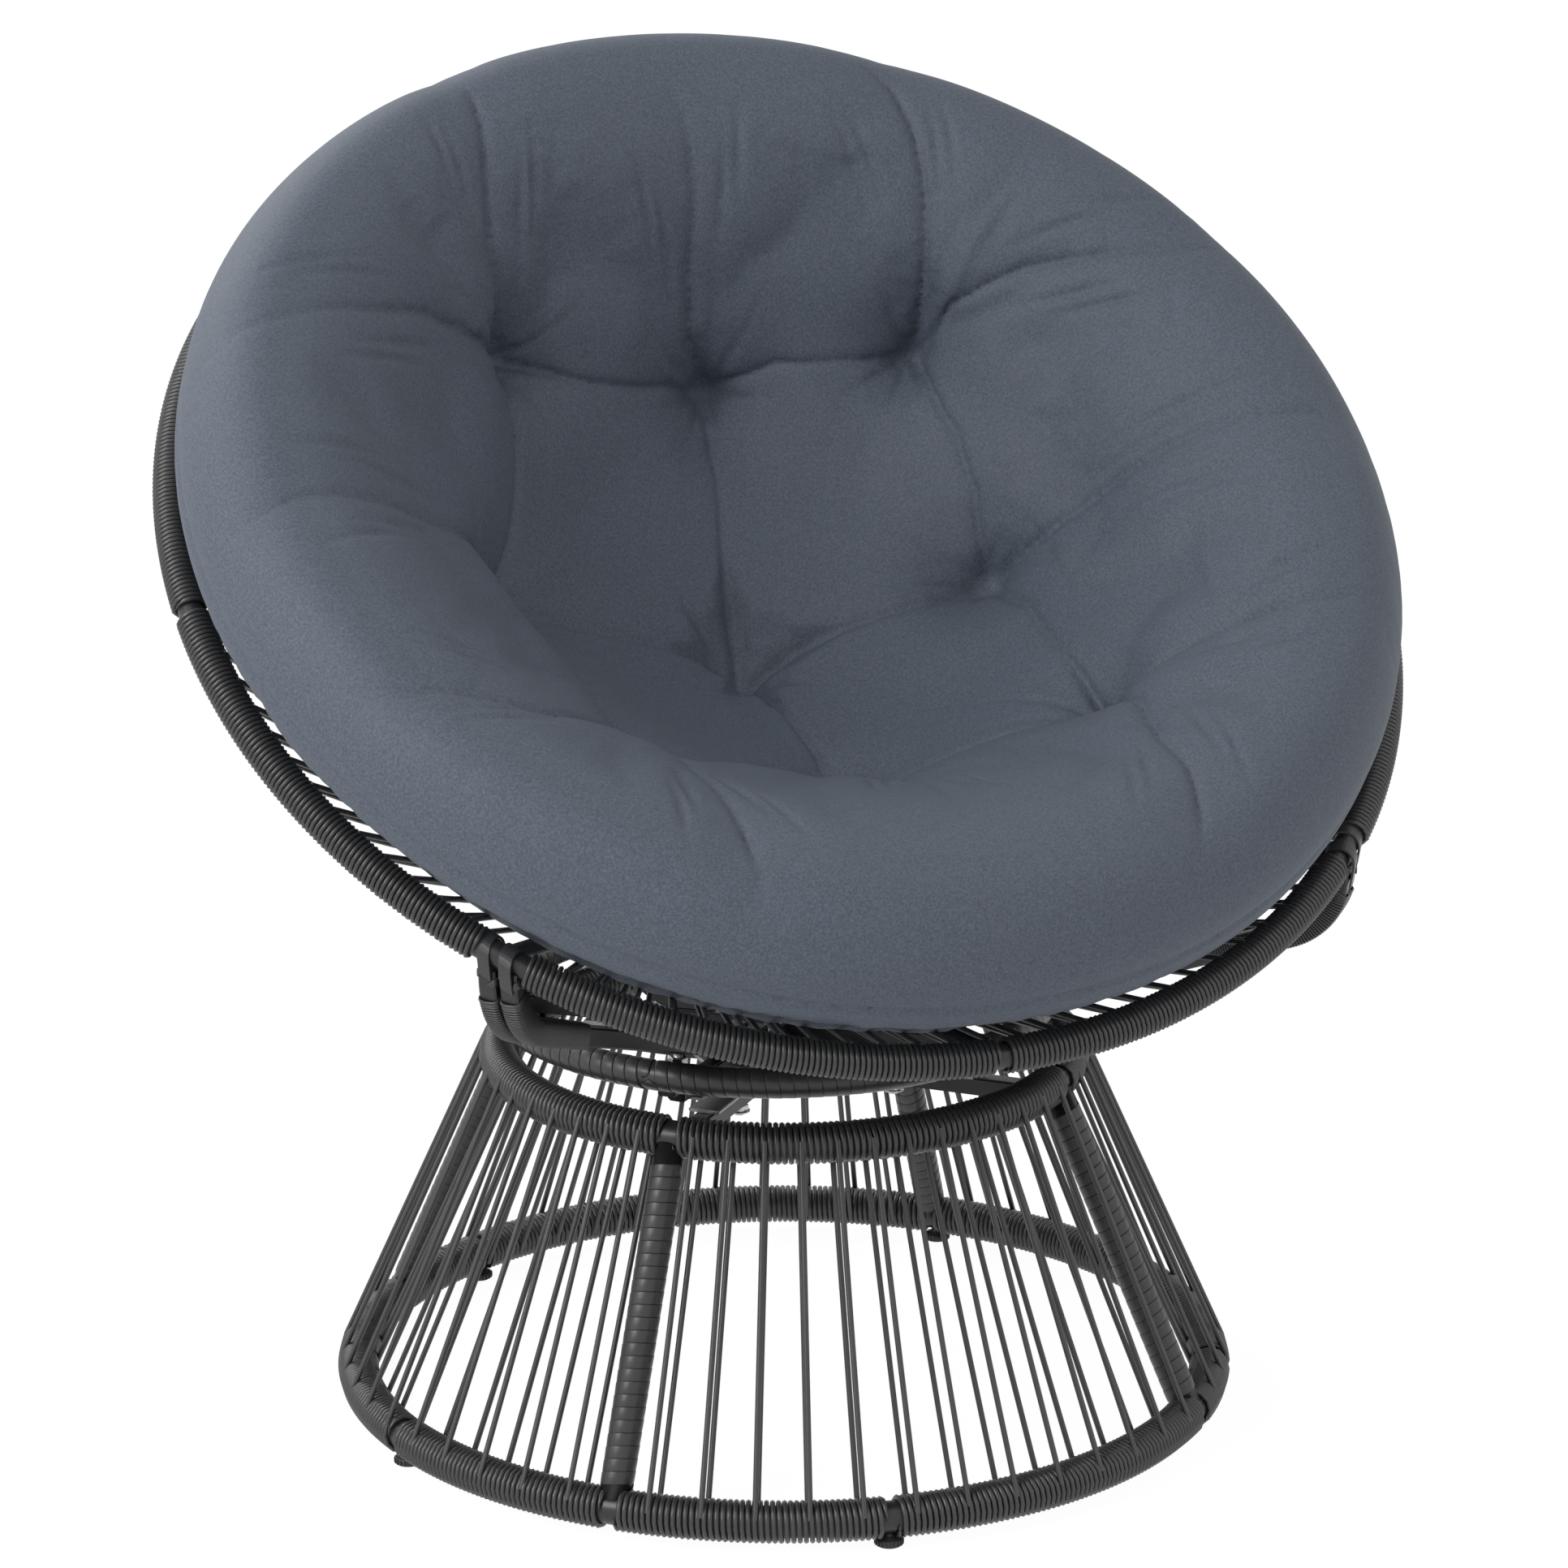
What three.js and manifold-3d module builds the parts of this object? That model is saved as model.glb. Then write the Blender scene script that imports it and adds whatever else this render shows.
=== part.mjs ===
// Papasan chair: a cord-wound stand, a ball swivel, and a tilted cord-wound bowl with a tufted cushion.
// Millimetres, +Z up, front towards -Y. Azimuths are measured from the front towards +X.
import * as THREE from 'three';
import { mergeVertices } from 'three/addons/utils/BufferGeometryUtils.js';
import Module from 'manifold-3d';

const wasm = await Module();
wasm.setup();

const degree = Math.PI / 180;

// Fits between pieces
const fitGap = 0.3;
const runningGap = 0.5;
const cutOverrun = 5;

// Counts of facets
const ringSegments = 32;
const tubeSides = 8;
const roundSides = 8;
const strandSides = 3;

// Cord and tape
const cordDiameter = 4;
const strandRadius = 1.9;
const tapeThickness = 1.25;
const windingGap = 11;

// Stand
const baseRadius = 350;
const topRadius = 231;
const standTube = 12.5;
const standRise = 263.3;
const legTube = 10;
const legNeck = 5;
const legTaper = 12;
const legBareEnd = 4;
const legCount = 4;
const legSides = 7;
const firstLeg = 45 * degree;
const outerStrandsPerLeg = 13;

// Levelling glides under the lower ring
const glideRadius = 11.5;
const glideHeight = 5.9;
const glideChamfer = 1.2;
const glideNeck = 4.5;
const studRadius = 4;
const studLength = 14;
const glideCount = 5;
const firstGlide = -81.7 * degree;

// Square bars and swivel
const barSize = 15;
const crossBarDrop = 2;
const hubRadius = 24;
const plateRadius = 75;
const plateThickness = 3;
const plateStripWidth = 26;
const plateStripReach = 168;
const ballRadius = 3.1;
const ballCircle = 60;
const ballCount = 8;
const cageWidth = 16;
const cageThickness = 1.6;
const pinRadius = 6;
const pinHeadRadius = 10;
const pinHeadThickness = 3;

// Cradle ring on the swivel
const cradleRadius = 218.7;
const cradleTube = 10;
const cradleSetback = 26;
const cradleBarOverhang = 5;
const cradleSweepGap = 3;
const tapeJointAzimuth = -48 * degree;
const tapeJointWidth = 4;

// Bowl
const rimRadius = 491.3;
const rimTube = 10;
const bowlClearance = 35.6;
const rimSetback = -14;
const rimTilt = 36.8 * degree;
const bottomRadius = 170;
const bottomTube = 8;
const bowlDepth = 299.6;
const ribRadius = 7;
const ribCount = 8;
const ribWindingGap = 2 * (ribRadius + runningGap);
const strapWindingGap = 39;
const strandsPerRib = 12;
const floorSpokes = 12;
const floorRingRadius = 45;
const floorRingTube = 3;

// Saddle arms and rear struts
const armAngle = 45 * degree;
const armWidth = 14.5;
const armHeight = 13;
const armRootHeight = 17;
const armFootStart = 60;
const armFootEnd = 106;
const armElbowRadius = 55;
const elbowDrop = 55.6;
const armFootBend = 40;
const wrapReach = 100;
const wrapWidth = 17.5;
const wrapHeight = 21;
const armPitch = wrapWidth + runningGap;
const armBareTop = 18;
const strapWidth = 10;
const strapThickness = 1.6;
const strapLength = 18;
const strutAngle = 80 * degree;
const bendSteps = 5;
const strapSteps = 3;

// Cushion
const cushionInset = 7.3;
const cushionCrown = 154;
const cushionThickness = 114;
const cushionFloorGap = 35.6;
const cushionSegments = 48;
const rollShift = { x: -18, y: -15 };
const shiftStart = -10;
const shiftEnd = 80;
const frontFill = 45;
const fillRadius = 250;
const fillSpread = 100;
const fillAzimuth = -20 * degree;
const tuftDepth = 40;
const tuftSpread = 52;
const foldDepth = 18;
const foldEndDepth = 5;
const foldSpread = 40;
const padLift = 8;
const facingFloor = 0.6;
// Three rows of three tufts, from the back to the front, as places on the plan of the bowl
const tuftRows = [
  [[-153, 210], [19, 213], [165, 194]],
  [[-214, 18], [-6, -9], [186, 23]],
  [[-170, -165], [0, -175], [182, -172]],
];
// The far ends of the folds that run out over the rolled edge, each with the row and column of its tuft
const outerFolds = [
  [0, 0, [-186, 391]], [0, 1, [-12, 375]], [0, 2, [156, 377]], [0, 2, [388, 151]], [1, 2, [420, -46]],
  [2, 2, [387, -211]], [2, 2, [143, -435]], [2, 0, [-200, -417]], [2, 0, [-443, -198]], [1, 0, [-485, -31]],
  [0, 0, [-441, 149]],
];

// Finishes
const steelFinish = { color: 0x101011, roughness: 0.3, metalness: 0.6 };
const cordFinish = { color: 0x36373a, roughness: 0.55, metalness: 0 };
const tapeFinish = { color: 0x2c2d30, roughness: 0.5, metalness: 0 };
const zincFinish = { color: 0x8d9093, roughness: 0.4, metalness: 0.9 };
const plasticFinish = { color: 0x1b1b1c, roughness: 0.6, metalness: 0 };
const clothFinish = { color: 0x4b535f, roughness: 0.95, metalness: 0 };

// Sizes that follow from those above
const standWrap = standTube + cordDiameter;
const baseHeight = glideHeight + fitGap + standWrap;
const topHeight = baseHeight + standRise;
const crossBarTop = topHeight - crossBarDrop;
const lowerPlateBottom = crossBarTop + fitGap;
const lowerPlateTop = lowerPlateBottom + plateThickness;
const ballHeight = lowerPlateTop + fitGap + ballRadius;
const upperPlateBottom = ballHeight + ballRadius + fitGap;
const upperPlateTop = upperPlateBottom + plateThickness;
const cradleBarBottom = upperPlateTop + fitGap;
const cradleBarTop = cradleBarBottom + barSize;
const cradleHeight = cradleBarTop + fitGap + cradleTube;
const rimWrap = rimTube + cordDiameter;
const bottomWrap = bottomTube + cordDiameter;
const rimHeight = cradleHeight + bowlClearance + bowlDepth * Math.cos(rimTilt) + bottomRadius * Math.sin(rimTilt);
const cushionRadius = rimRadius - cushionInset;
const cushionDepth = bowlDepth - cushionFloorGap;
const cushionCentreDepth = cushionDepth - cushionThickness;

const chair = new THREE.Group();
const bowl = new THREE.Group();
bowl.position.set(0, rimSetback, rimHeight);
bowl.rotation.x = rimTilt;
bowl.updateMatrix();
chair.add(bowl);
const bowlPlace = bowl.matrix.clone();
const bowlReturn = bowl.matrix.clone().invert();

// Solids for joining and cutting
function solid(geometry) {
  const bare = geometry.clone();
  bare.deleteAttribute('normal');
  bare.deleteAttribute('uv');
  const merged = mergeVertices(bare);
  const vertProperties = new Float32Array(merged.attributes.position.array);
  const triVerts = new Uint32Array(merged.index.array);
  return new wasm.Manifold(new wasm.Mesh({ numProp: 3, vertProperties, triVerts }));
}

function surface(body) {
  const mesh = body.getMesh();
  const geometry = new THREE.BufferGeometry();
  geometry.setAttribute('position', new THREE.BufferAttribute(mesh.vertProperties, 3));
  geometry.setIndex(new THREE.BufferAttribute(mesh.triVerts, 1));
  geometry.computeVertexNormals();
  return geometry;
}

const join = (bodies) => bodies.map(solid).reduce((whole, body) => whole.add(body));

const cut = (body, cutters) => cutters.map(solid).reduce((whole, cutter) => whole.subtract(cutter), body);

function addMesh(group, name, geometry, finish) {
  const mesh = new THREE.Mesh(geometry, new THREE.MeshStandardMaterial(finish));
  mesh.name = name;
  group.add(mesh);
}

// Points and directions
const ringPoint = (radius, angle, height) =>
  new THREE.Vector3(radius * Math.sin(angle), -radius * Math.cos(angle), height);

const azimuthOf = (point) => Math.atan2(point.x, -point.y);

const reachOf = (point) => Math.hypot(point.x, point.y);

// Distance from the axis to the straight facet of a ring at an angle
function chordRadius(radius, angle) {
  const step = 2 * Math.PI / ringSegments;
  const offset = angle - Math.floor(angle / step) * step - step / 2;
  return radius * Math.cos(step / 2) / Math.cos(offset);
}

// Basic shapes. A ring's section has flat sides, one of them square to the facing direction.
function ring({ radius, height, facing }, tube) {
  const section = Array.from({ length: tubeSides + 1 }, (_, i) => {
    const angle = facing + (i % tubeSides + 1 / 2) * 2 * Math.PI / tubeSides;
    return new THREE.Vector2(radius + tube * Math.cos(angle), height + tube * Math.sin(angle));
  });
  return new THREE.LatheGeometry(section, ringSegments).rotateX(Math.PI / 2);
}

const flatDistance = (radius) => radius * Math.cos(Math.PI / tubeSides);

const boreRadius = (tube) => tube + fitGap / Math.cos(Math.PI / tubeSides);

const bore = (place) => ring(place, boreRadius(place.tube));

// The direction square to the strands between two rings, away from the axis
const facingOf = (low, high) => Math.atan2(low.radius - high.radius, high.height - low.height);

function rod(from, to, radius, sides) {
  const along = new THREE.Vector3().subVectors(to, from);
  const middle = new THREE.Vector3().addVectors(from, to).multiplyScalar(0.5);
  const shape = new THREE.CylinderGeometry(radius, radius, along.length(), sides, 1);
  const turn = new THREE.Quaternion().setFromUnitVectors(new THREE.Vector3(0, 1, 0), along.normalize());
  return shape.applyQuaternion(turn).translate(middle.x, middle.y, middle.z);
}

const post = (x, y, bottom, top, radius) =>
  rod(new THREE.Vector3(x, y, bottom), new THREE.Vector3(x, y, top), radius, roundSides);

const turnedProfile = (points, sides) =>
  new THREE.LatheGeometry(points.map(([x, y]) => new THREE.Vector2(x, y)), sides).rotateX(Math.PI / 2);

const slotAt = (angle, width, reach, bottom, top) =>
  new THREE.BoxGeometry(width, reach, top - bottom)
    .translate(0, -reach / 2, (top + bottom) / 2)
    .rotateZ(angle);

// A sector of a disc between two angles that are less than half a turn apart
function wedge(from, to, reach, bottom, top) {
  const corner = reach / Math.cos((to - from) / 2);
  const outline = new THREE.Shape([
    new THREE.Vector2(0, 0),
    new THREE.Vector2(corner * Math.sin(from), -corner * Math.cos(from)),
    new THREE.Vector2(corner * Math.sin(to), -corner * Math.cos(to)),
  ]);
  return new THREE.ExtrudeGeometry(outline, { depth: top - bottom, bevelEnabled: false }).translate(0, 0, bottom);
}

// A strand is a three-sided bar with one side towards the tube, in the middle of the winding's wall
const strandSeat = (tube, wrap) => (flatDistance(boreRadius(tube)) + flatDistance(wrap)) / 2 - strandRadius / 4;

// Where a strand lies on the outside of a wound ring
const strandRest = (wrap) => flatDistance(wrap) + runningGap + strandRadius / 2;

// One strand between two wound rings, on the outer side (1) or the inner side (-1). It ends in the winding, or on it
// where the ring and its winding are one solid.
function strand(low, high, angle, side) {
  const ends = [low, high].map(({ radius, height, tube, wrap }) => {
    const seat = side * (wrap > tube ? strandSeat(tube, wrap) : strandRest(wrap));
    return new THREE.Vector3(seat * Math.cos(low.facing), 0, seat * Math.sin(low.facing))
      .add(new THREE.Vector3(chordRadius(radius, angle), 0, height));
  });
  const along = new THREE.Vector3().subVectors(ends[1], ends[0]);
  const outward = new THREE.Vector3(side * Math.cos(low.facing), 0, side * Math.sin(low.facing));
  const forward = along.clone().normalize();
  const upright = outward.addScaledVector(forward, -outward.dot(forward)).normalize();
  const basis = new THREE.Matrix4().makeBasis(new THREE.Vector3().crossVectors(forward, upright), forward, upright);
  return new THREE.CylinderGeometry(strandRadius, strandRadius, along.length(), strandSides, 1)
    .applyMatrix4(basis.setPosition(ends[0].addScaledVector(along, 1 / 2)))
    .rotateZ(angle - Math.PI / 2);
}

// A sector of the winding on two rings with the strands that cross between them
function wovenPanel(low, high, from, to, strands, cutters) {
  const reach = Math.max(low.radius, high.radius) + low.wrap + high.wrap;
  const bottom = Math.min(low.height, high.height) - low.wrap - high.wrap;
  const top = Math.max(low.height, high.height) + low.wrap + high.wrap;
  const wound = [low, high].filter((end) => end.wrap > end.tube);
  const windings = wound.map((end) => ring(end, end.wrap));
  const bores = wound.map(bore);
  const crossing = strands.map(({ angle, side }) => strand(low, high, angle, side));
  const whole = join([...windings, ...crossing]).intersect(solid(wedge(from, to, reach, bottom, top)));
  return surface(cut(whole, [...bores, ...cutters]));
}

// A centreline with rounded corners, in a plane
function rounded(corners, radius) {
  const path = [corners[0]];
  for (let i = 1; i < corners.length - 1; i += 1) {
    const back = new THREE.Vector2().subVectors(corners[i - 1], corners[i]).normalize();
    const ahead = new THREE.Vector2().subVectors(corners[i + 1], corners[i]).normalize();
    const half = Math.acos(back.dot(ahead)) / 2;
    const centre = new THREE.Vector2().addVectors(back, ahead).setLength(radius / Math.sin(half)).add(corners[i]);
    const start = new THREE.Vector2().copy(back).multiplyScalar(radius / Math.tan(half)).add(corners[i]);
    const end = new THREE.Vector2().copy(ahead).multiplyScalar(radius / Math.tan(half)).add(corners[i]);
    const first = new THREE.Vector2().subVectors(start, centre).angle();
    const sweep = Math.atan2(
      new THREE.Vector2().subVectors(start, centre).cross(new THREE.Vector2().subVectors(end, centre)),
      new THREE.Vector2().subVectors(start, centre).dot(new THREE.Vector2().subVectors(end, centre)),
    );
    for (let k = 0; k <= bendSteps; k += 1) {
      const angle = first + sweep * k / bendSteps;
      path.push(new THREE.Vector2(centre.x + radius * Math.cos(angle), centre.y + radius * Math.sin(angle)));
    }
  }
  path.push(corners[corners.length - 1]);
  return path;
}

// A flat bar that follows a centreline of reach and height, and lies in the vertical plane at an azimuth
function bar(path, thickness, width, azimuth, sideways = 0) {
  const above = [];
  const below = [];
  path.forEach((point, i) => {
    const before = path[Math.max(i - 1, 0)];
    const after = path[Math.min(i + 1, path.length - 1)];
    const along = new THREE.Vector2().subVectors(after, before).normalize();
    const half = thickness(i / (path.length - 1)) / 2;
    above.push(new THREE.Vector2(point.x - along.y * half, point.y + along.x * half));
    below.unshift(new THREE.Vector2(point.x + along.y * half, point.y - along.x * half));
  });
  const shape = new THREE.Shape([...above, ...below]);
  return new THREE.ExtrudeGeometry(shape, { depth: width, bevelEnabled: false })
    .rotateX(Math.PI / 2)
    .translate(0, width / 2 + sideways, 0)
    .rotateZ(azimuth - Math.PI / 2);
}

// Stand frame
const baseRing = { radius: baseRadius, tube: standTube, wrap: standWrap, height: baseHeight };
const topRing = { radius: topRadius, tube: standTube, wrap: standWrap, height: topHeight };
const woundTopRing = { ...topRing, tube: standWrap };
[baseRing, topRing, woundTopRing].forEach((place) => {
  place.facing = facingOf(baseRing, topRing);
});
const glideAngles = Array.from({ length: glideCount }, (_, i) => firstGlide + i * 2 * Math.PI / glideCount);
const legAngles = Array.from({ length: legCount }, (_, i) => firstLeg + i * 2 * Math.PI / legCount);

function studBore(angle) {
  const place = ringPoint(chordRadius(baseRadius, angle), angle, 0);
  return post(place.x, place.y, 0, glideHeight + studLength + fitGap, studRadius + runningGap);
}

function neckBore(angle) {
  const place = ringPoint(chordRadius(baseRadius, angle), angle, 0);
  return post(place.x, place.y, 0, baseHeight, glideNeck + runningGap);
}

addMesh(chair, 'base_ring', surface(cut(solid(ring(baseRing, standTube)), glideAngles.map(studBore))), steelFinish);

// The upper ring and its winding are one solid, with the tube bare at each leg
const standTop = topHeight + standWrap + cutOverrun;
const reachPast = baseRadius + standWrap + cutOverrun;
const windingBottom = topHeight - standWrap - cutOverrun;
const topSlots = legAngles.map((angle) => slotAt(angle, barSize + 2 * runningGap, reachPast, windingBottom, standTop));
addMesh(chair, 'top_ring', surface(cut(solid(ring(topRing, standWrap)), topSlots).add(solid(ring(topRing, standTube)))),
  cordFinish);

// Each leg narrows to a neck at both ends and is saddled on the ring tubes
function leg(angle) {
  const from = ringPoint(baseRadius, angle, baseHeight);
  const to = ringPoint(topRadius, angle, topHeight);
  const along = new THREE.Vector3().subVectors(to, from);
  const length = along.length();
  const neckEnd = standWrap + fitGap;
  const taperEnd = neckEnd + legTaper;
  const tapeStart = taperEnd + legBareEnd;
  const half = [
    [0, standTube / 2],
    [legNeck, standTube / 2],
    [legNeck, neckEnd],
    [legTube, taperEnd],
    [legTube, tapeStart],
    [legTube + tapeThickness, tapeStart],
  ];
  const mirrored = half.map(([x, y]) => [x, length - y]).reverse();
  const turn = new THREE.Quaternion().setFromUnitVectors(new THREE.Vector3(0, 0, 1), along.normalize());
  const shape = turnedProfile([...half, ...mirrored], legSides).applyQuaternion(turn);
  return surface(cut(solid(shape.translate(from.x, from.y, from.z)), [bore(baseRing), bore(topRing)]));
}

legAngles.forEach((angle, i) => addMesh(chair, `stand_leg_${i + 1}`, leg(angle), tapeFinish));

// A hole whose flats clear a turning pin of that radius
const pinHole = (radius, bottom, top) =>
  post(0, 0, bottom - cutOverrun, top + cutOverrun, (radius + runningGap) / Math.cos(Math.PI / roundSides));

function standCross() {
  const reach = topRadius - standTube / 2;
  const bars = legAngles.map((angle) => slotAt(angle, barSize, reach, crossBarTop - barSize, crossBarTop));
  const hub = post(0, 0, crossBarTop - barSize, crossBarTop, hubRadius);
  const hole = pinHole(pinHeadRadius, crossBarTop - barSize, crossBarTop);
  return surface(cut(join([hub, ...bars]), [hole, bore(topRing)]));
}

addMesh(chair, 'stand_cross_bars', standCross(), steelFinish);

// Windings of the stand, two panels from each leg to the next
const strandPitch = 2 * Math.PI / legCount / (outerStrandsPerLeg + 1);

function standPanel(leg, firstStrand, lastStrand) {
  const strands = [];
  for (let k = firstStrand; k <= lastStrand; k += 1) {
    strands.push({ angle: leg + k * strandPitch, side: 1 });
    if (k < outerStrandsPerLeg) {
      strands.push({ angle: leg + (k + 1 / 2) * strandPitch, side: -1 });
    }
  }
  return strands;
}

const legSlots = legAngles.map((angle) => slotAt(angle, windingGap, reachPast, 0, standTop));
const panelSplit = Math.floor(outerStrandsPerLeg / 2);

legAngles.forEach((angle, i) => {
  const middle = angle + (panelSplit + 3 / 4) * strandPitch;
  const seam = slotAt(middle, fitGap, reachPast, 0, standTop);
  const cutters = [seam, ...legSlots, ...glideAngles.map(neckBore)];
  const end = angle + 2 * Math.PI / legCount;
  const firstHalf = standPanel(angle, 1, panelSplit);
  const lastHalf = standPanel(angle, panelSplit + 1, outerStrandsPerLeg);
  addMesh(chair, `stand_weave_${2 * i + 1}`, wovenPanel(baseRing, woundTopRing, angle, middle, firstHalf, cutters),
    cordFinish);
  addMesh(chair, `stand_weave_${2 * i + 2}`, wovenPanel(baseRing, woundTopRing, middle, end, lastHalf, cutters),
    cordFinish);
});

// Levelling glides: a chamfered foot, a neck under the tube and a stud screwed into it
glideAngles.forEach((angle, i) => {
  const tubeBottom = baseHeight - standTube;
  const glide = turnedProfile([
    [0, 0],
    [glideRadius - glideChamfer, 0],
    [glideRadius, glideChamfer],
    [glideRadius, glideHeight],
    [glideNeck, glideHeight],
    [glideNeck, tubeBottom - fitGap],
    [studRadius, tubeBottom - fitGap],
    [studRadius, glideHeight + studLength],
    [0, glideHeight + studLength],
  ], roundSides);
  const place = ringPoint(chordRadius(baseRadius, angle), angle, 0);
  addMesh(chair, `glide_foot_${i + 1}`, glide.translate(place.x, place.y, 0), plasticFinish);
});

// Places on the tilted bowl
const bowlPoint = (radius, angle, height) => ringPoint(radius, angle, height).applyMatrix4(bowlPlace);
const armTop = bowlPoint(rimRadius, armAngle, 0);
const armAzimuth = azimuthOf(armTop);
const strutTop = bowlPoint(bottomRadius, strutAngle, -bowlDepth);
const strutAzimuth = azimuthOf(strutTop);

// Swivel: two plates with strips along the bars, balls in a cage, and a riveted pin
function swivelPlate(bottom, angles, reach) {
  const top = bottom + plateThickness;
  const strips = angles.map((angle) => slotAt(angle, plateStripWidth, reach, bottom, top));
  const disc = rod(new THREE.Vector3(0, 0, bottom), new THREE.Vector3(0, 0, top), plateRadius, 2 * roundSides);
  return surface(cut(join([disc, ...strips]), [pinHole(pinRadius, bottom, top)]));
}

const cradleBarAngles = [armAzimuth, -armAzimuth, strutAzimuth, -strutAzimuth];
addMesh(chair, 'swivel_lower_plate', swivelPlate(lowerPlateBottom, legAngles, plateStripReach), zincFinish);
addMesh(chair, 'swivel_upper_plate', swivelPlate(upperPlateBottom, cradleBarAngles, plateStripReach), zincFinish);

function ballCage() {
  const inner = ballCircle - cageWidth / 2;
  const outer = ballCircle + cageWidth / 2;
  const band = turnedProfile([
    [inner, ballHeight - cageThickness / 2],
    [outer, ballHeight - cageThickness / 2],
    [outer, ballHeight + cageThickness / 2],
    [inner, ballHeight + cageThickness / 2],
    [inner, ballHeight - cageThickness / 2],
  ], 2 * roundSides);
  const balls = Array.from({ length: ballCount }, (_, i) => {
    const place = ringPoint(ballCircle, i * 2 * Math.PI / ballCount, ballHeight);
    return new THREE.OctahedronGeometry(ballRadius).translate(place.x, place.y, place.z);
  });
  return surface(join([band, ...balls]));
}

addMesh(chair, 'ball_cage', ballCage(), zincFinish);
addMesh(chair, 'swivel_pin', turnedProfile([
  [0, lowerPlateBottom - fitGap - pinHeadThickness],
  [pinHeadRadius, lowerPlateBottom - fitGap - pinHeadThickness],
  [pinHeadRadius, lowerPlateBottom - fitGap],
  [pinRadius, lowerPlateBottom - fitGap],
  [pinRadius, upperPlateTop + fitGap],
  [pinHeadRadius, upperPlateTop + fitGap],
  [pinHeadRadius, upperPlateTop + fitGap + pinHeadThickness],
  [0, upperPlateTop + fitGap + pinHeadThickness],
], roundSides), zincFinish);

// Cradle: four bars under a tape-wound ring that sits a little behind the swivel axis
function cradleReach(azimuth) {
  const ahead = -cradleSetback * Math.cos(azimuth);
  return ahead + Math.sqrt(ahead * ahead + cradleRadius * cradleRadius - cradleSetback * cradleSetback);
}

const radialPlate = (points, width, azimuth) =>
  new THREE.ExtrudeGeometry(new THREE.Shape(points.map(([x, y]) => new THREE.Vector2(x, y))),
    { depth: width, bevelEnabled: false })
    .rotateX(Math.PI / 2)
    .translate(0, width / 2, 0)
    .rotateZ(azimuth - Math.PI / 2);

// A cradle bar is cut away below where it passes over the winding of the stand
function cradleBar(azimuth, growth) {
  const reach = cradleReach(azimuth) + cradleBarOverhang;
  const sweepStart = topRadius - standWrap - cradleSweepGap;
  const sweepHeight = topHeight + standWrap + cradleSweepGap;
  const underside = reach > sweepStart
    ? [[sweepStart - barSize / 2, cradleBarBottom], [sweepStart, sweepHeight], [reach, sweepHeight]]
    : [[reach, cradleBarBottom]];
  const outline = [[0, cradleBarBottom], ...underside, [reach + growth, cradleBarTop + growth],
    [0, cradleBarTop + growth]];
  return radialPlate(outline, barSize + 2 * growth, azimuth);
}

function cradleCross() {
  const hub = post(0, 0, cradleBarBottom, cradleBarTop, hubRadius);
  const hole = pinHole(pinHeadRadius, cradleBarBottom, cradleBarTop);
  return surface(cut(join([hub, ...cradleBarAngles.map((azimuth) => cradleBar(azimuth, 0))]), [hole]));
}

addMesh(chair, 'cradle_cross_bars', cradleCross(), steelFinish);

// The tape is a skin on the ring, left off at its joint and where the bars are welded
function cradleWoundRing() {
  const place = { radius: cradleRadius, height: 0, facing: Math.PI / tubeSides };
  const wrap = cradleTube + tapeThickness;
  const joint = slotAt(tapeJointAzimuth, tapeJointWidth, cradleRadius + 2 * wrap, -2 * wrap, 2 * wrap);
  const taped = solid(ring(place, wrap)).subtract(solid(joint));
  const whole = taped.add(solid(ring(place, cradleTube))).translate([0, cradleSetback, cradleHeight]);
  return surface(cut(whole, cradleBarAngles.map((azimuth) => cradleBar(azimuth, fitGap))));
}

addMesh(chair, 'cradle_ring', cradleWoundRing(), tapeFinish);

// Bowl frame
const rimRing = { radius: rimRadius, tube: rimTube, wrap: rimWrap, height: 0 };
const bottomRing = { radius: bottomRadius, tube: bottomWrap, wrap: bottomWrap, height: -bowlDepth };
bottomRing.facing = facingOf(bottomRing, rimRing);
rimRing.facing = bottomRing.facing;
const ribAngles = Array.from({ length: ribCount }, (_, i) => i * 2 * Math.PI / ribCount);
const rimBore = bore(rimRing);
const bottomBore = bore(bottomRing);

const ribShape = (angle, growth) =>
  rod(ringPoint(bottomRadius, angle, -bowlDepth), ringPoint(rimRadius, angle, 0), ribRadius + growth, legSides);

addMesh(bowl, 'bowl_rim', ring(rimRing, rimTube), steelFinish);
addMesh(bowl, 'bowl_bottom_ring', ring(bottomRing, bottomWrap), cordFinish);
ribAngles.forEach((angle, i) => {
  addMesh(bowl, `bowl_rib_${i + 1}`, surface(cut(solid(ribShape(angle, 0)), [rimBore, bottomBore])), steelFinish);
});

// Saddle arms: a flat foot on the cradle bar, a long slope, an elbow and an upright under the rim
const armFootHeight = cradleBarTop + fitGap + armHeight / 2;
const elbowReach = reachOf(armTop);
const elbowHeight = armTop.z - elbowDrop;
const armSlope = Math.atan2(elbowHeight - armFootHeight, elbowReach - armFootEnd);
const armCorners = [
  new THREE.Vector2(armFootStart, armFootHeight),
  new THREE.Vector2(armFootEnd, armFootHeight),
  new THREE.Vector2(elbowReach, elbowHeight),
  new THREE.Vector2(elbowReach, armTop.z),
];

function armPath() {
  const foot = rounded(armCorners.slice(0, 3), armFootBend).slice(0, -1);
  const elbow = rounded(armCorners.slice(1), armElbowRadius).slice(1);
  return [...foot, ...elbow];
}

function armShape(azimuth, sideways, growth) {
  const path = armPath();
  const thickness = (share) => armHeight + (armRootHeight - armHeight) * share + 2 * growth;
  return bar(path, thickness, armWidth + 2 * growth, azimuth, sideways);
}

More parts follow.
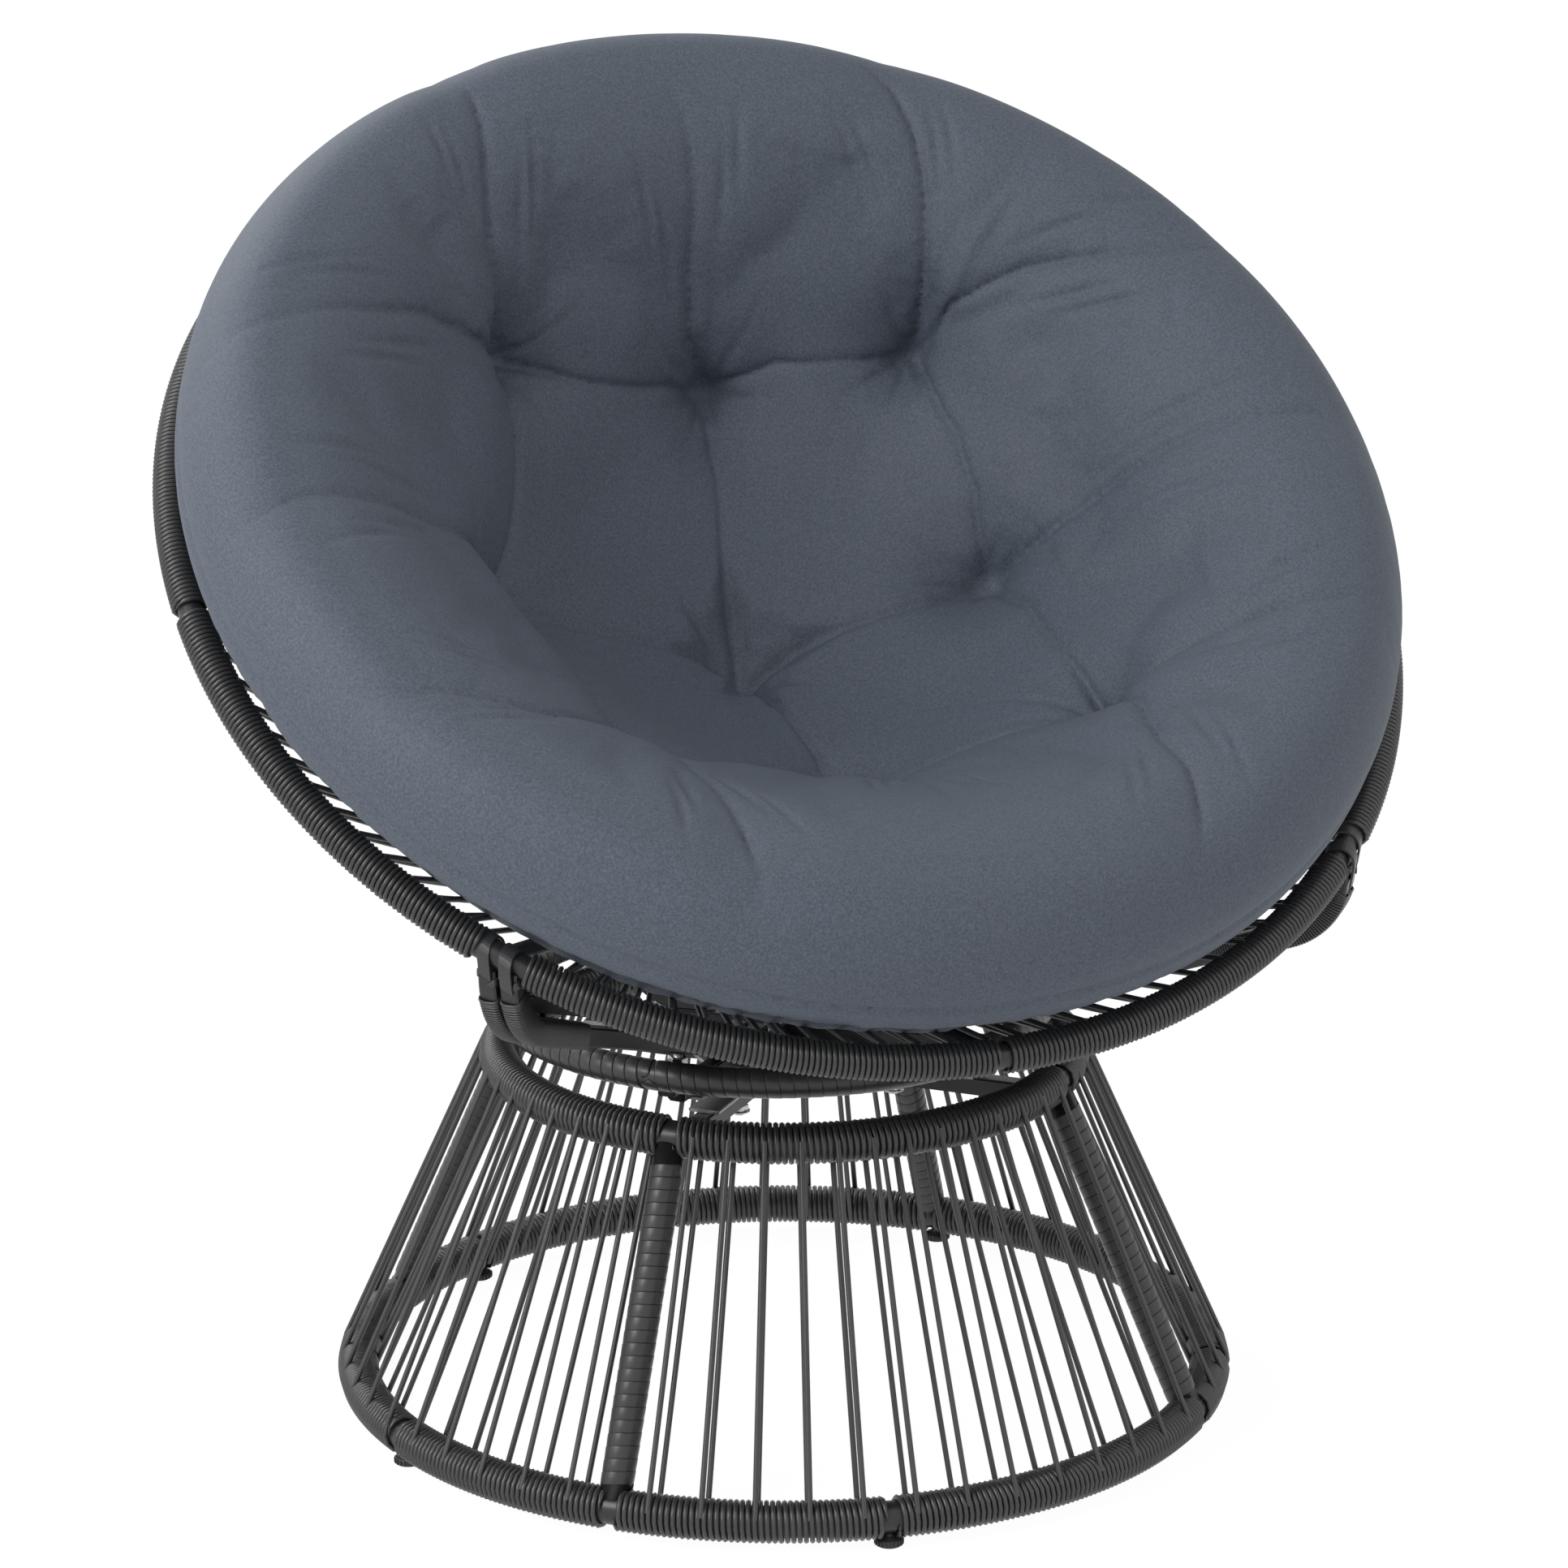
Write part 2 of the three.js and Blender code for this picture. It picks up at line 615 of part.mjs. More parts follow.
function armWinding(azimuth, sideways) {
  const windingTop = armTop.z - rimTube - armBareTop;
  const elbow = rounded(armCorners.slice(1), armElbowRadius).slice(1, -1).filter((point) => point.y < windingTop);
  const start = new THREE.Vector2(elbowReach - wrapReach, elbowHeight - wrapReach * Math.tan(armSlope));
  return bar([start, ...elbow], () => wrapHeight, wrapWidth, azimuth, sideways);
}

const rimBoreInChair = rimBore.clone().applyMatrix4(bowlPlace);
const ribsInChair = ribAngles.map((angle) => ribShape(angle, fitGap).applyMatrix4(bowlPlace));

function saddleArm(azimuth, sideways) {
  const whole = join([armShape(azimuth, sideways, 0), armWinding(azimuth, sideways)]);
  return surface(cut(whole, [rimBoreInChair, ...ribsInChair]));
}

// A strap goes over the bare rim tube and down both faces of its arm
function strapBand(side, sideways, growth) {
  const azimuth = side * armAzimuth;
  const outward = new THREE.Vector3(Math.sin(azimuth), -Math.cos(azimuth), 0);
  const tangent = new THREE.Vector3(Math.cos(armAngle), side * Math.sin(armAngle), 0).transformDirection(bowlPlace);
  const level = new THREE.Vector3(Math.cos(azimuth), Math.sin(azimuth), 0);
  const along = tangent.addScaledVector(outward, -tangent.dot(outward)).divideScalar(tangent.dot(level));
  const half = armRootHeight / 2 + fitGap + strapThickness + growth;
  const roof = (rimTube + fitGap + strapThickness) * along.length() + growth;
  const width = strapWidth + 2 * growth;
  const outline = new THREE.Shape();
  outline.moveTo(-half, -strapLength - growth);
  outline.lineTo(half, -strapLength - growth);
  outline.lineTo(roof, 0);
  outline.absarc(0, 0, roof, 0, Math.PI, false);
  const basis = new THREE.Matrix4().makeBasis(outward, new THREE.Vector3(0, 0, 1), along.clone().negate());
  const middle = new THREE.Vector3(side * armTop.x, armTop.y, armTop.z).addScaledVector(along, sideways);
  return new THREE.ExtrudeGeometry(outline, { depth: width, bevelEnabled: false, curveSegments: strapSteps })
    .translate(0, 0, -width / 2)
    .applyMatrix4(basis)
    .translate(middle.x, middle.y, middle.z);
}

function rimStrap(side, sideways) {
  const seats = [rimBoreInChair, ...ribsInChair, armShape(side * armAzimuth, sideways, fitGap)];
  return surface(cut(solid(strapBand(side, sideways, 0)), seats));
}

let armNumber = 0;
for (const side of [-1, 1]) {
  for (const sideways of [-armPitch / 2, armPitch / 2]) {
    armNumber += 1;
    addMesh(chair, `saddle_arm_${armNumber}`, saddleArm(side * armAzimuth, sideways), cordFinish);
    addMesh(chair, `rim_strap_${armNumber}`, rimStrap(side, sideways), tapeFinish);
  }
}

// Rear struts from the cradle bars to the lower ring of the bowl
const strutReach = reachOf(strutTop);
const strutPath = rounded([
  new THREE.Vector2(armFootStart, armFootHeight),
  new THREE.Vector2(armFootEnd, armFootHeight),
  new THREE.Vector2(strutReach, strutTop.z),
], armFootBend);

const strutShape = (azimuth, growth) =>
  bar(strutPath, () => armHeight + 2 * growth, barSize + 2 * growth, azimuth);

const bottomBoreInChair = bottomBore.clone().applyMatrix4(bowlPlace);
[-1, 1].forEach((side, i) => {
  const strut = cut(solid(strutShape(side * strutAzimuth, 0)), [bottomBoreInChair]);
  addMesh(chair, `rear_strut_${i + 1}`, surface(strut), steelFinish);
});

// Windings of the bowl, one panel from each rib to the next
const bowlPitch = 2 * Math.PI / ribCount / strandsPerRib;
const bowlReach = rimRadius + 2 * rimWrap;
const isArmRib = (angle) => Math.abs(Math.abs(Math.atan2(Math.sin(angle), Math.cos(angle))) - armAngle) < bowlPitch;

const armsInBowl = [-1, 1].flatMap((side) => [-armPitch / 2, armPitch / 2].flatMap((sideways) =>
  [armShape(side * armAzimuth, sideways, fitGap), strapBand(side, sideways, fitGap)]
    .map((shape) => shape.applyMatrix4(bowlReturn))));

function rimSlot(angle) {
  const width = isArmRib(angle) ? strapWindingGap : ribWindingGap;
  return slotAt(angle, width, bowlReach, -2 * rimWrap, 2 * rimWrap);
}

function bowlPanel(from, to) {
  const bare = strapWindingGap / 2 / rimRadius;
  const strands = [];
  for (let k = 1; k < 2 * strandsPerRib; k += 1) {
    const angle = from + k * bowlPitch / 2;
    const nearArm = (isArmRib(from) && angle - from < bare) || (isArmRib(to) && to - angle < bare);
    if (!nearArm) {
      strands.push({ angle, side: k % 2 ? 1 : -1 });
    }
  }
  return wovenPanel(bottomRing, rimRing, from, to, strands, [...[from, to].map(rimSlot), ...armsInBowl]);
}

ribAngles.forEach((angle, i) => {
  addMesh(bowl, `bowl_weave_${i + 1}`, bowlPanel(angle, angle + 2 * Math.PI / ribCount), cordFinish);
});

// Spokes of cord across the lower ring
function floorWeave() {
  const middle = new THREE.TorusGeometry(floorRingRadius, floorRingTube, 4, 2 * roundSides).translate(0, 0, -bowlDepth);
  const reach = bottomRadius - bottomWrap - fitGap;
  const spokes = Array.from({ length: floorSpokes }, (_, i) => {
    const angle = (i + 1 / 2) * 2 * Math.PI / floorSpokes;
    return rod(ringPoint(floorRingRadius, angle, -bowlDepth), ringPoint(reach, angle, -bowlDepth), strandRadius,
      strandSides);
  });
  return surface(join([middle, ...spokes]));
}

addMesh(bowl, 'bowl_floor_weave', floorWeave(), cordFinish);

// Cushion: a thick round pad that lines the bowl, with a rolled edge, nine tufts and the folds that join them
const wallSlope = (rimRadius - bottomRadius) / bowlDepth;
const wallAngle = Math.atan2(bowlDepth, rimRadius - bottomRadius);
const liningOffset = (strandRest(bottomWrap) + strandRadius + fitGap) / Math.sin(wallAngle);
const liningRadius = (depth) => (rimRadius - depth * wallSlope) * Math.cos(Math.PI / ringSegments) - liningOffset;

// Shares of the cushion radius and of its crown height over the rim, from the middle of the dish to the rolled edge
const dishRadiusShares = [
  0, 0.08, 0.16, 0.24, 0.31, 0.38, 0.45, 0.52, 0.59, 0.66, 0.74, 0.82, 0.9, 0.955, 0.993, 1, 0.97,
];
const dishRiseShares = [
  -1, -0.92, -0.83, -0.74, -0.64, -0.51, -0.33, -0.08, 0.2, 0.48, 0.76, 0.94, 1, 0.9, 0.7, 0.46, 0.16,
];
const liningDepthShares = [0.09, 0.5, 0.93];

function dishHeight(share) {
  return share < 0 ? share * cushionCentreDepth : share * cushionCrown;
}

function cushionProfile() {
  const upper = dishRadiusShares.map((share, i) => [share * cushionRadius, dishHeight(dishRiseShares[i])]);
  const lining = liningDepthShares.map((share) => [liningRadius(share * cushionDepth), -share * cushionDepth]);
  return [...upper, ...lining, [0, -cushionDepth]].reverse();
}

// The folds between neighbouring tufts and out over the roll, as (start, end, depth at the start, depth at the end)
function cushionFolds() {
  const across = tuftRows.flatMap((row) => [[row[0], row[1]], [row[1], row[2]]]);
  const along = tuftRows[0].flatMap((_, i) => [[tuftRows[0][i], tuftRows[1][i]], [tuftRows[1][i], tuftRows[2][i]]]);
  const inner = [...across, ...along].map(([start, end]) => [start, end, foldDepth, foldDepth]);
  const outer = outerFolds.map(([row, column, end]) => [tuftRows[row][column], end, foldDepth, foldEndDepth]);
  return [...inner, ...outer];
}

const swell = (distance, spread) => Math.exp(-(distance * distance) / (spread * spread));

// How far a place on the plan is drawn in by the deepest fold near it
function foldDrop(x, y) {
  return Math.max(...cushionFolds().map(([[x0, y0], [x1, y1], startDepth, endDepth]) => {
    const share = THREE.MathUtils.clamp(((x - x0) * (x1 - x0) + (y - y0) * (y1 - y0))
      / ((x1 - x0) ** 2 + (y1 - y0) ** 2), 0, 1);
    const distance = Math.hypot(x - THREE.MathUtils.lerp(x0, x1, share), y - THREE.MathUtils.lerp(y0, y1, share));
    return THREE.MathUtils.lerp(startDepth, endDepth, share) * swell(distance, foldSpread);
  }));
}

function tuftDrop(x, y) {
  return tuftDepth * Math.max(...tuftRows.flat().map(([x0, y0]) => swell(Math.hypot(x - x0, y - y0), tuftSpread)));
}

function cushion() {
  const shape = turnedProfile(cushionProfile(), cushionSegments);
  const { position: places, normal: normals } = shape.attributes;
  for (let i = 0; i < places.count; i += 1) {
    const point = new THREE.Vector3().fromBufferAttribute(places, i);
    const normal = new THREE.Vector3().fromBufferAttribute(normals, i);
    const radius = Math.hypot(point.x, point.y);
    if (radius < fitGap) normal.set(0, 0, 1);
    const raised = THREE.MathUtils.smoothstep(point.z, shiftStart, shiftEnd);
    const inDish = point.z > -cushionCentreDepth - fitGap && radius < liningRadius(-point.z) - foldSpread / 2;
    const place = [point.x + rollShift.x * raised, point.y + rollShift.y * raised];
    if (inDish || point.z > shiftEnd) {
      const drop = foldDrop(...place) + tuftDrop(...place) - (inDish ? padLift : 0);
      point.addScaledVector(normal, -drop * THREE.MathUtils.clamp(normal.z + facingFloor, 0, 1));
    }
    if (inDish) {
      const turn = Math.atan2(point.x, -point.y) - fillAzimuth;
      point.z += frontFill * ((1 + Math.cos(turn)) / 2) * swell(radius - fillRadius, fillSpread);
    }
    places.setXYZ(i, point.x + rollShift.x * raised, point.y + rollShift.y * raised, point.z);
  }
  shape.computeVertexNormals();
  return shape;
}

addMesh(bowl, 'cushion', cushion(), clothFinish);

// The origin is on the floor, in the middle of the plan
chair.updateMatrixWorld(true);
const middle = new THREE.Box3().setFromObject(chair, true).getCenter(new THREE.Vector3());
chair.position.set(-middle.x, -middle.y, 0);

export default chair;
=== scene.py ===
"""Papasan chair: cord windings, bare and wound steel, swivel hardware and a tufted cushion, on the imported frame.

Metres, +Z up, front towards -Y. Azimuths are measured from the front towards +X.
"""

import math

import bmesh
import bpy
import numpy as np
from mathutils import Matrix, Vector
from mathutils.bvhtree import BVHTree
from mathutils.kdtree import KDTree


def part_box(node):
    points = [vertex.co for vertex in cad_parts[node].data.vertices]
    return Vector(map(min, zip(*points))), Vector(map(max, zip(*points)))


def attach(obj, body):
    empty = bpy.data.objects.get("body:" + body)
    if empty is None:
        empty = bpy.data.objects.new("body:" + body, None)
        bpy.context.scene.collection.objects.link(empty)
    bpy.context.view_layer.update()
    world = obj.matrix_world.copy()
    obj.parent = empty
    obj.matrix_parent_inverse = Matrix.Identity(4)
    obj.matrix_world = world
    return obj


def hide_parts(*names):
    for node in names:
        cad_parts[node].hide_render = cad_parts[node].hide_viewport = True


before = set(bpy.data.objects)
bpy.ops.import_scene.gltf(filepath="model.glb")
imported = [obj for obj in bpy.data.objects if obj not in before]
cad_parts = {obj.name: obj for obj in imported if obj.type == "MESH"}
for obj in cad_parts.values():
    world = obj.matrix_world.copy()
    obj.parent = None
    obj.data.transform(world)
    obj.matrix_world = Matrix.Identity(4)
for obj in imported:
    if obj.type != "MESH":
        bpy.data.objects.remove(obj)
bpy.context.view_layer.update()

# Stand
BASE_RADIUS, BASE_HEIGHT = 0.350, 0.0227
TOP_RADIUS, TOP_HEIGHT = 0.231, 0.286
STAND_TUBE = 0.0125
LEG_TUBE = 0.012
LEG_ANGLES = [math.radians(a) for a in (45, 135, 225, 315)]
GLIDE_ANGLES = [math.radians(-81.7 + 72 * i) for i in range(5)]
CROSS_BAR_TOP = 0.284
BAR_SIZE = 0.015

# Cord and tape
CORD, STRAND = 0.002, 0.0023
TURN_HEIGHT, TURN_SHARE = 0.0023, 0.47
TAPE_THICKNESS, TAPE_LIFT, TAPE_EDGE = 0.0006, 0.00015, 0.35
LEG_TAPE_PITCH, LEG_TAPE_HALF = 0.0098, 0.0051
CRADLE_TAPE_PITCH, CRADLE_TAPE_HALF = 0.0105, 0.0055
BASE_PITCH, TOP_PITCH = 0.0047, 0.0049
STAND_GAP, GLIDE_GAP = 0.011, 0.009
STRANDS_PER_LEG, STRAND_START = 13, math.radians(5.3)

# Swivel and cradle
PLATE_RADIUS, PLATE_THICKNESS = 0.075, 0.003
STRIP_LENGTH, STRIP_WIDTH = 0.168, 0.026
LOWER_PLATE_BOTTOM, UPPER_PLATE_BOTTOM = 0.2843, 0.2941
BALL_HEIGHT, BALL_RADIUS, BALL_CIRCLE = 0.2907, 0.0031, 0.060
CRADLE_RADIUS, CRADLE_TUBE = 0.2187, 0.0112
CRADLE_SETBACK, CRADLE_HEIGHT = 0.026, 0.3227
CRADLE_BAR_TOP = 0.3124
CRADLE_JOINT = math.radians(-48)
# Reach, bottom and top of the thread, bottom and top of the nut
STAND_BOLT = (0.095, 0.260, 0.270, 0.2625, 0.2690)
CRADLE_BOLT = (0.182, 0.310, 0.343, 0.3262, 0.3335)

# Bowl
RIM_RADIUS, RIM_TUBE = 0.4913, 0.010
RIM_HEIGHT, RIM_SETBACK = 0.700, -0.014
RIM_TILT = math.radians(36.8)
BOTTOM_RADIUS, BOTTOM_TUBE, BOWL_DEPTH = 0.170, 0.008, 0.2996
RIB_RADIUS = 0.007
RIM_PITCH, BOTTOM_PITCH = 0.0042, 0.0043
RIB_GAP, STRAP_GAP = 0.008, 0.039
STRANDS_PER_RIB = 14

# Arms and struts
ARM_ANGLE = math.radians(45)
ARM_WIDTH, ARM_THICKNESS, ARM_ROOT = 0.0145, 0.013, 0.017
ARM_FOOT_HEIGHT = 0.3192
ARM_FOOT_START, ARM_FOOT_END = 0.060, 0.106
ARM_SLOPE = math.radians(18.6)
ARM_ELBOW = 0.055
ARM_FOOT_BEND = 0.040
ARM_PITCH = 0.018
WRAP_START, WRAP_WIDTH, WRAP_HEIGHT = 0.354, 0.0175, 0.021
ARM_BARE_TOP = 0.018
STRUT_ANGLE = math.radians(80)
STRAP_WIDTH, STRAP_THICKNESS, STRAP_LENGTH = 0.010, 0.0016, 0.018

base_low, base_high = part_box("base_ring")
AXIS_Y = (base_low.y + base_high.y) / 2
CHAIR = Matrix.Translation((0, AXIS_Y, 0))
BOWL = CHAIR @ Matrix.Translation((0, RIM_SETBACK, RIM_HEIGHT)) @ Matrix.Rotation(RIM_TILT, 4, "X")


def on_azimuth(azimuth, reach=0.0, sideways=0.0, height=0.0):
    """A place on the chair with X outwards along an azimuth and Z up."""
    return CHAIR @ Matrix.Rotation(azimuth - math.pi / 2, 4, "Z") @ Matrix.Translation((reach, sideways, height))


# Node helpers
def new_node(tree, kind, inputs=(), **settings):
    node = tree.nodes.new(kind)
    for key, value in settings.items():
        setattr(node, key, value)
    for key, value in dict(inputs).items():
        if isinstance(value, bpy.types.NodeSocket):
            tree.links.new(value, node.inputs[key])
        else:
            node.inputs[key].default_value = value
    return node


def maths(tree, operation, *values):
    return new_node(tree, "ShaderNodeMath", enumerate(values), operation=operation).outputs[0]


def vector_maths(tree, operation, *values):
    node = new_node(tree, "ShaderNodeVectorMath", enumerate(values), operation=operation)
    return node.outputs["Value" if operation in {"DOT_PRODUCT", "LENGTH"} else "Vector"]


def scaled(tree, vector, factor):
    return new_node(tree, "ShaderNodeVectorMath", {0: vector, "Scale": factor}, operation="SCALE").outputs[0]


def total(tree, first, *others):
    for other in others:
        first = vector_maths(tree, "ADD", first, other)
    return first


def new_tree(name, kind, inputs, outputs):
    tree = bpy.data.node_groups.new(name, kind)
    for socket_name, socket_kind in outputs.items():
        tree.interface.new_socket(socket_name, in_out="OUTPUT", socket_type=f"NodeSocket{socket_kind.title()}")
    for socket_name, socket_kind in inputs.items():
        tree.interface.new_socket(socket_name, in_out="INPUT", socket_type=f"NodeSocket{socket_kind.title()}")
    return tree, tree.nodes.new("NodeGroupInput").outputs, tree.nodes.new("NodeGroupOutput").inputs


def finish_geometry(tree, outlet, geometry, material):
    real = new_node(tree, "GeometryNodeRealizeInstances", {"Geometry": geometry})
    smooth = new_node(tree, "GeometryNodeSetShadeSmooth", {"Geometry": real.outputs[0], "Shade Smooth": True})
    coated = new_node(tree, "GeometryNodeSetMaterial", {"Geometry": smooth.outputs[0], "Material": material})
    tree.links.new(coated.outputs[0], outlet["Geometry"])


def signed_power(tree, value, power):
    raised = maths(tree, "POWER", maths(tree, "ABSOLUTE", value), power)
    return maths(tree, "MULTIPLY", maths(tree, "SIGN", value), raised)


def winding_tree():
    """Winds a cord or tape in a helix round a path that lies in the XY plane."""
    tree, inlet, outlet = new_tree("Winding", "GeometryNodeTree", {
        "Geometry": "geometry", "Pitch": "float", "Outward Radius": "float", "Sideways Radius": "float",
        "Corner Power": "float", "Cord Height": "float", "Cord Width": "float", "Edge Lift": "float",
        "Edge Power": "float", "Steps": "int", "Sides": "int", "Material": "material"}, {"Geometry": "geometry"})
    line = new_node(tree, "GeometryNodeMeshToCurve", {"Mesh": inlet["Geometry"]}).outputs[0]
    path = new_node(tree, "GeometryNodeSetCurveNormal", {"Curve": line}, mode="Z_UP").outputs[0]
    length = new_node(tree, "GeometryNodeCurveLength", {"Curve": path}).outputs[0]
    turns = maths(tree, "ROUND", maths(tree, "DIVIDE", length, inlet["Pitch"]))
    along_count = maths(tree, "MULTIPLY_ADD", turns, inlet["Steps"], 1.0)
    grid = new_node(tree, "GeometryNodeMeshGrid", {"Size X": 1.0, "Size Y": 1.0, "Vertices X": along_count,
        "Vertices Y": maths(tree, "ADD", inlet["Sides"], 1.0)}).outputs[0]
    split = new_node(tree, "ShaderNodeSeparateXYZ", {0: new_node(tree, "GeometryNodeInputPosition").outputs[0]})
    along = maths(tree, "ADD", split.outputs["X"], 0.5)
    around = maths(tree, "MULTIPLY", maths(tree, "ADD", split.outputs["Y"], 0.5), 2 * math.pi)
    sample = new_node(tree, "GeometryNodeSampleCurve", {"Curves": path, "Factor": along}, mode="FACTOR")
    place, tangent, normal = (sample.outputs[name] for name in ("Position", "Tangent", "Normal"))
    across = vector_maths(tree, "CROSS_PRODUCT", tangent, normal)
    turn = maths(tree, "MULTIPLY", maths(tree, "MULTIPLY", along, turns), 2 * math.pi)
    out = signed_power(tree, maths(tree, "COSINE", turn), inlet["Corner Power"])
    side = signed_power(tree, maths(tree, "SINE", turn), inlet["Corner Power"])
    offset = total(tree, scaled(tree, normal, maths(tree, "MULTIPLY", out, inlet["Outward Radius"])),
                   scaled(tree, across, maths(tree, "MULTIPLY", side, inlet["Sideways Radius"])))
    outward = vector_maths(tree, "NORMALIZE", offset)
    from_end = maths(tree, "MINIMUM", along, maths(tree, "SUBTRACT", 1.0, along))
    taper = maths(tree, "MULTIPLY", from_end, maths(tree, "MULTIPLY", along_count, 0.5))
    taper = new_node(tree, "ShaderNodeClamp", {"Value": taper}).outputs[0]
    high = signed_power(tree, maths(tree, "COSINE", around), inlet["Edge Power"])
    wide = signed_power(tree, maths(tree, "SINE", around), inlet["Edge Power"])
    lift = maths(tree, "MULTIPLY_ADD", wide, inlet["Edge Lift"], maths(tree, "MULTIPLY", high, inlet["Cord Height"]))
    width = maths(tree, "MULTIPLY", wide, inlet["Cord Width"])
    position = total(tree, place, offset, scaled(tree, outward, maths(tree, "MULTIPLY", lift, taper)),
                     scaled(tree, tangent, maths(tree, "MULTIPLY", width, taper)))
    shaped = new_node(tree, "GeometryNodeSetPosition", {"Geometry": grid, "Position": position}).outputs[0]
    closed = new_node(tree, "GeometryNodeMergeByDistance", {"Geometry": shaped, "Distance": 1e-6}).outputs[0]
    finish_geometry(tree, outlet, closed, inlet["Material"])
    return tree


def tube_tree():
    """Makes each chain of edges a round tube with closed ends."""
    tree, inlet, outlet = new_tree("Tube", "GeometryNodeTree", {
        "Geometry": "geometry", "Radius": "float", "Sides": "int", "Material": "material"}, {"Geometry": "geometry"})
    line = new_node(tree, "GeometryNodeMeshToCurve", {"Mesh": inlet["Geometry"]}).outputs[0]
    section = new_node(tree, "GeometryNodeCurvePrimitiveCircle", {
        "Resolution": inlet["Sides"], "Radius": inlet["Radius"]}, mode="RADIUS").outputs[0]
    tube = new_node(tree, "GeometryNodeCurveToMesh", {
        "Curve": line, "Profile Curve": section, "Fill Caps": True}).outputs[0]
    finish_geometry(tree, outlet, tube, inlet["Material"])
    return tree


WINDING, TUBE = winding_tree(), tube_tree()


# Mesh helpers
def new_object(name, mesh):
    obj = bpy.data.objects.new(name, mesh)
    bpy.context.scene.collection.objects.link(obj)
    return obj


def shaped_mesh(points, edges, tree, values):
    source = bpy.data.meshes.new("source")
    source.from_pydata([tuple(p) for p in points], edges, [])
    obj = new_object("source", source)
    modifier = obj.modifiers.new("Shape", "NODES")
    modifier.node_group = tree
    for item in tree.interface.items_tree:
        if item.in_out == "INPUT" and item.name in values:
            modifier[item.identifier] = values[item.name]
    graph = bpy.context.evaluated_depsgraph_get()
    mesh = bpy.data.meshes.new_from_object(obj.evaluated_get(graph))
    bpy.data.objects.remove(obj)
    bpy.data.meshes.remove(source)
    return mesh


def piece(name, parts, body, slot, *nodes, finish=None):
    """One object from (mesh, place) pairs that rides on a body and stands for the nodes named."""
    shape = bmesh.new()
    for mesh, place in parts:
        mesh.transform(place)
        shape.from_mesh(mesh)
        bpy.data.meshes.remove(mesh)
    mesh = bpy.data.meshes.new(name)
    shape.to_mesh(mesh)
    shape.free()
    mesh.materials.clear()
    mesh.materials.append(finish or SLOT_FINISHES[slot])
    obj = new_object(name, mesh)
    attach(obj, body)
    if nodes:
        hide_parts(*nodes)
    return obj


def chain(points):
    return points, [(i, i + 1) for i in range(len(points) - 1)]


def ring_point(radius, angle, height=0.0):
    return Vector((radius * math.sin(angle), -radius * math.cos(angle), height))


def arc(radius, start, end, step=0.01):
    count = max(2, math.ceil(abs(end - start) * radius / step))
    return [ring_point(radius, start + (end - start) * i / count) for i in range(count + 1)]


def winding(points, pitch, radius, material, height, width, sideways=None, corner=1.0, lift=0.0, edge=1.0,
            steps=12, sides=6):
    return shaped_mesh(*chain(points), WINDING, {
        "Pitch": pitch, "Outward Radius": radius, "Sideways Radius": radius if sideways is None else sideways,
        "Corner Power": corner, "Cord Height": height, "Cord Width": width, "Edge Lift": lift, "Edge Power": edge,
        "Steps": steps, "Sides": sides, "Material": material})


def taped(points, pitch, tube, half_width):
    """A flat tape that overlaps a little from turn to turn."""
    return winding(points, pitch, tube + TAPE_THICKNESS / 2, tape_finish, TAPE_THICKNESS, half_width, lift=TAPE_LIFT,
                   edge=TAPE_EDGE, steps=32, sides=10)


def tubes(lines, radius, sides, material):
    points, edges = [], []
    for line in lines:
        edges += [(len(points) + i, len(points) + i + 1) for i in range(len(line) - 1)]
        points += line
    return shaped_mesh(points, edges, TUBE, {"Radius": radius, "Sides": sides, "Material": material})


def ring_mesh(radius, tube, segments=96, sides=16):
    """A closed ring tube round the origin."""
    points, faces = [], []
    for i in range(segments):
        turn = 2 * math.pi * i / segments
        for k in range(sides):
            around = 2 * math.pi * k / sides
            points.append(ring_point(radius + tube * math.cos(around), turn, tube * math.sin(around)))
            a, b = i * sides + k, i * sides + (k + 1) % sides
            step = ((i + 1) % segments - i) * sides
            faces.append((a, a + step, b + step, b))
    return smooth_mesh(points, faces)


def smooth_mesh(points, faces):
    mesh = bpy.data.meshes.new("part")
    mesh.from_pydata([tuple(p) for p in points], [], faces)
    mesh.polygons.foreach_set("use_smooth", [True] * len(mesh.polygons))
    return mesh


def turned(profile, segments=48):
    """A turned solid about Z from (radius, height) points that start and end on the axis."""
    points, faces = [Vector((0, 0, profile[0][1]))], []
    inner = profile[1:-1]
    for i in range(segments):
        points += [ring_point(r, 2 * math.pi * i / segments, h) for r, h in inner]
    points.append(Vector((0, 0, profile[-1][1])))
    count, last = len(inner), len(points) - 1
    for i in range(segments):
        a, b = 1 + i * count, 1 + (i + 1) % segments * count
        faces.append((0, b, a))
        faces.append((last, a + count - 1, b + count - 1))
        faces += [(a + k, b + k, b + k + 1, a + k + 1) for k in range(count - 1)]
    return smooth_mesh(points, faces)


def taken(shape):
    mesh = bpy.data.meshes.new("part")
    shape.to_mesh(mesh)
    shape.free()
    return mesh


def closed_mesh(points, faces):
    """A flat-shaded mesh whose faces point outwards."""
    shape = bmesh.new()
    corners = [shape.verts.new(p) for p in points]
    for face in faces:
        shape.faces.new([corners[i] for i in face])
    bmesh.ops.recalc_face_normals(shape, faces=shape.faces[:])
    return taken(shape)


def block(length, width, height, bevel):
    """A bar along X from the origin, its top at z 0, with rounded edges."""
    shape = bmesh.new()
    bmesh.ops.create_cube(shape, size=1, matrix=Matrix.Translation((length / 2, 0, -height / 2))
                          @ Matrix.Diagonal((length, width, height, 1)))
    bmesh.ops.bevel(shape, geom=shape.edges[:], offset=bevel, segments=2, affect="EDGES")
    return taken(shape)


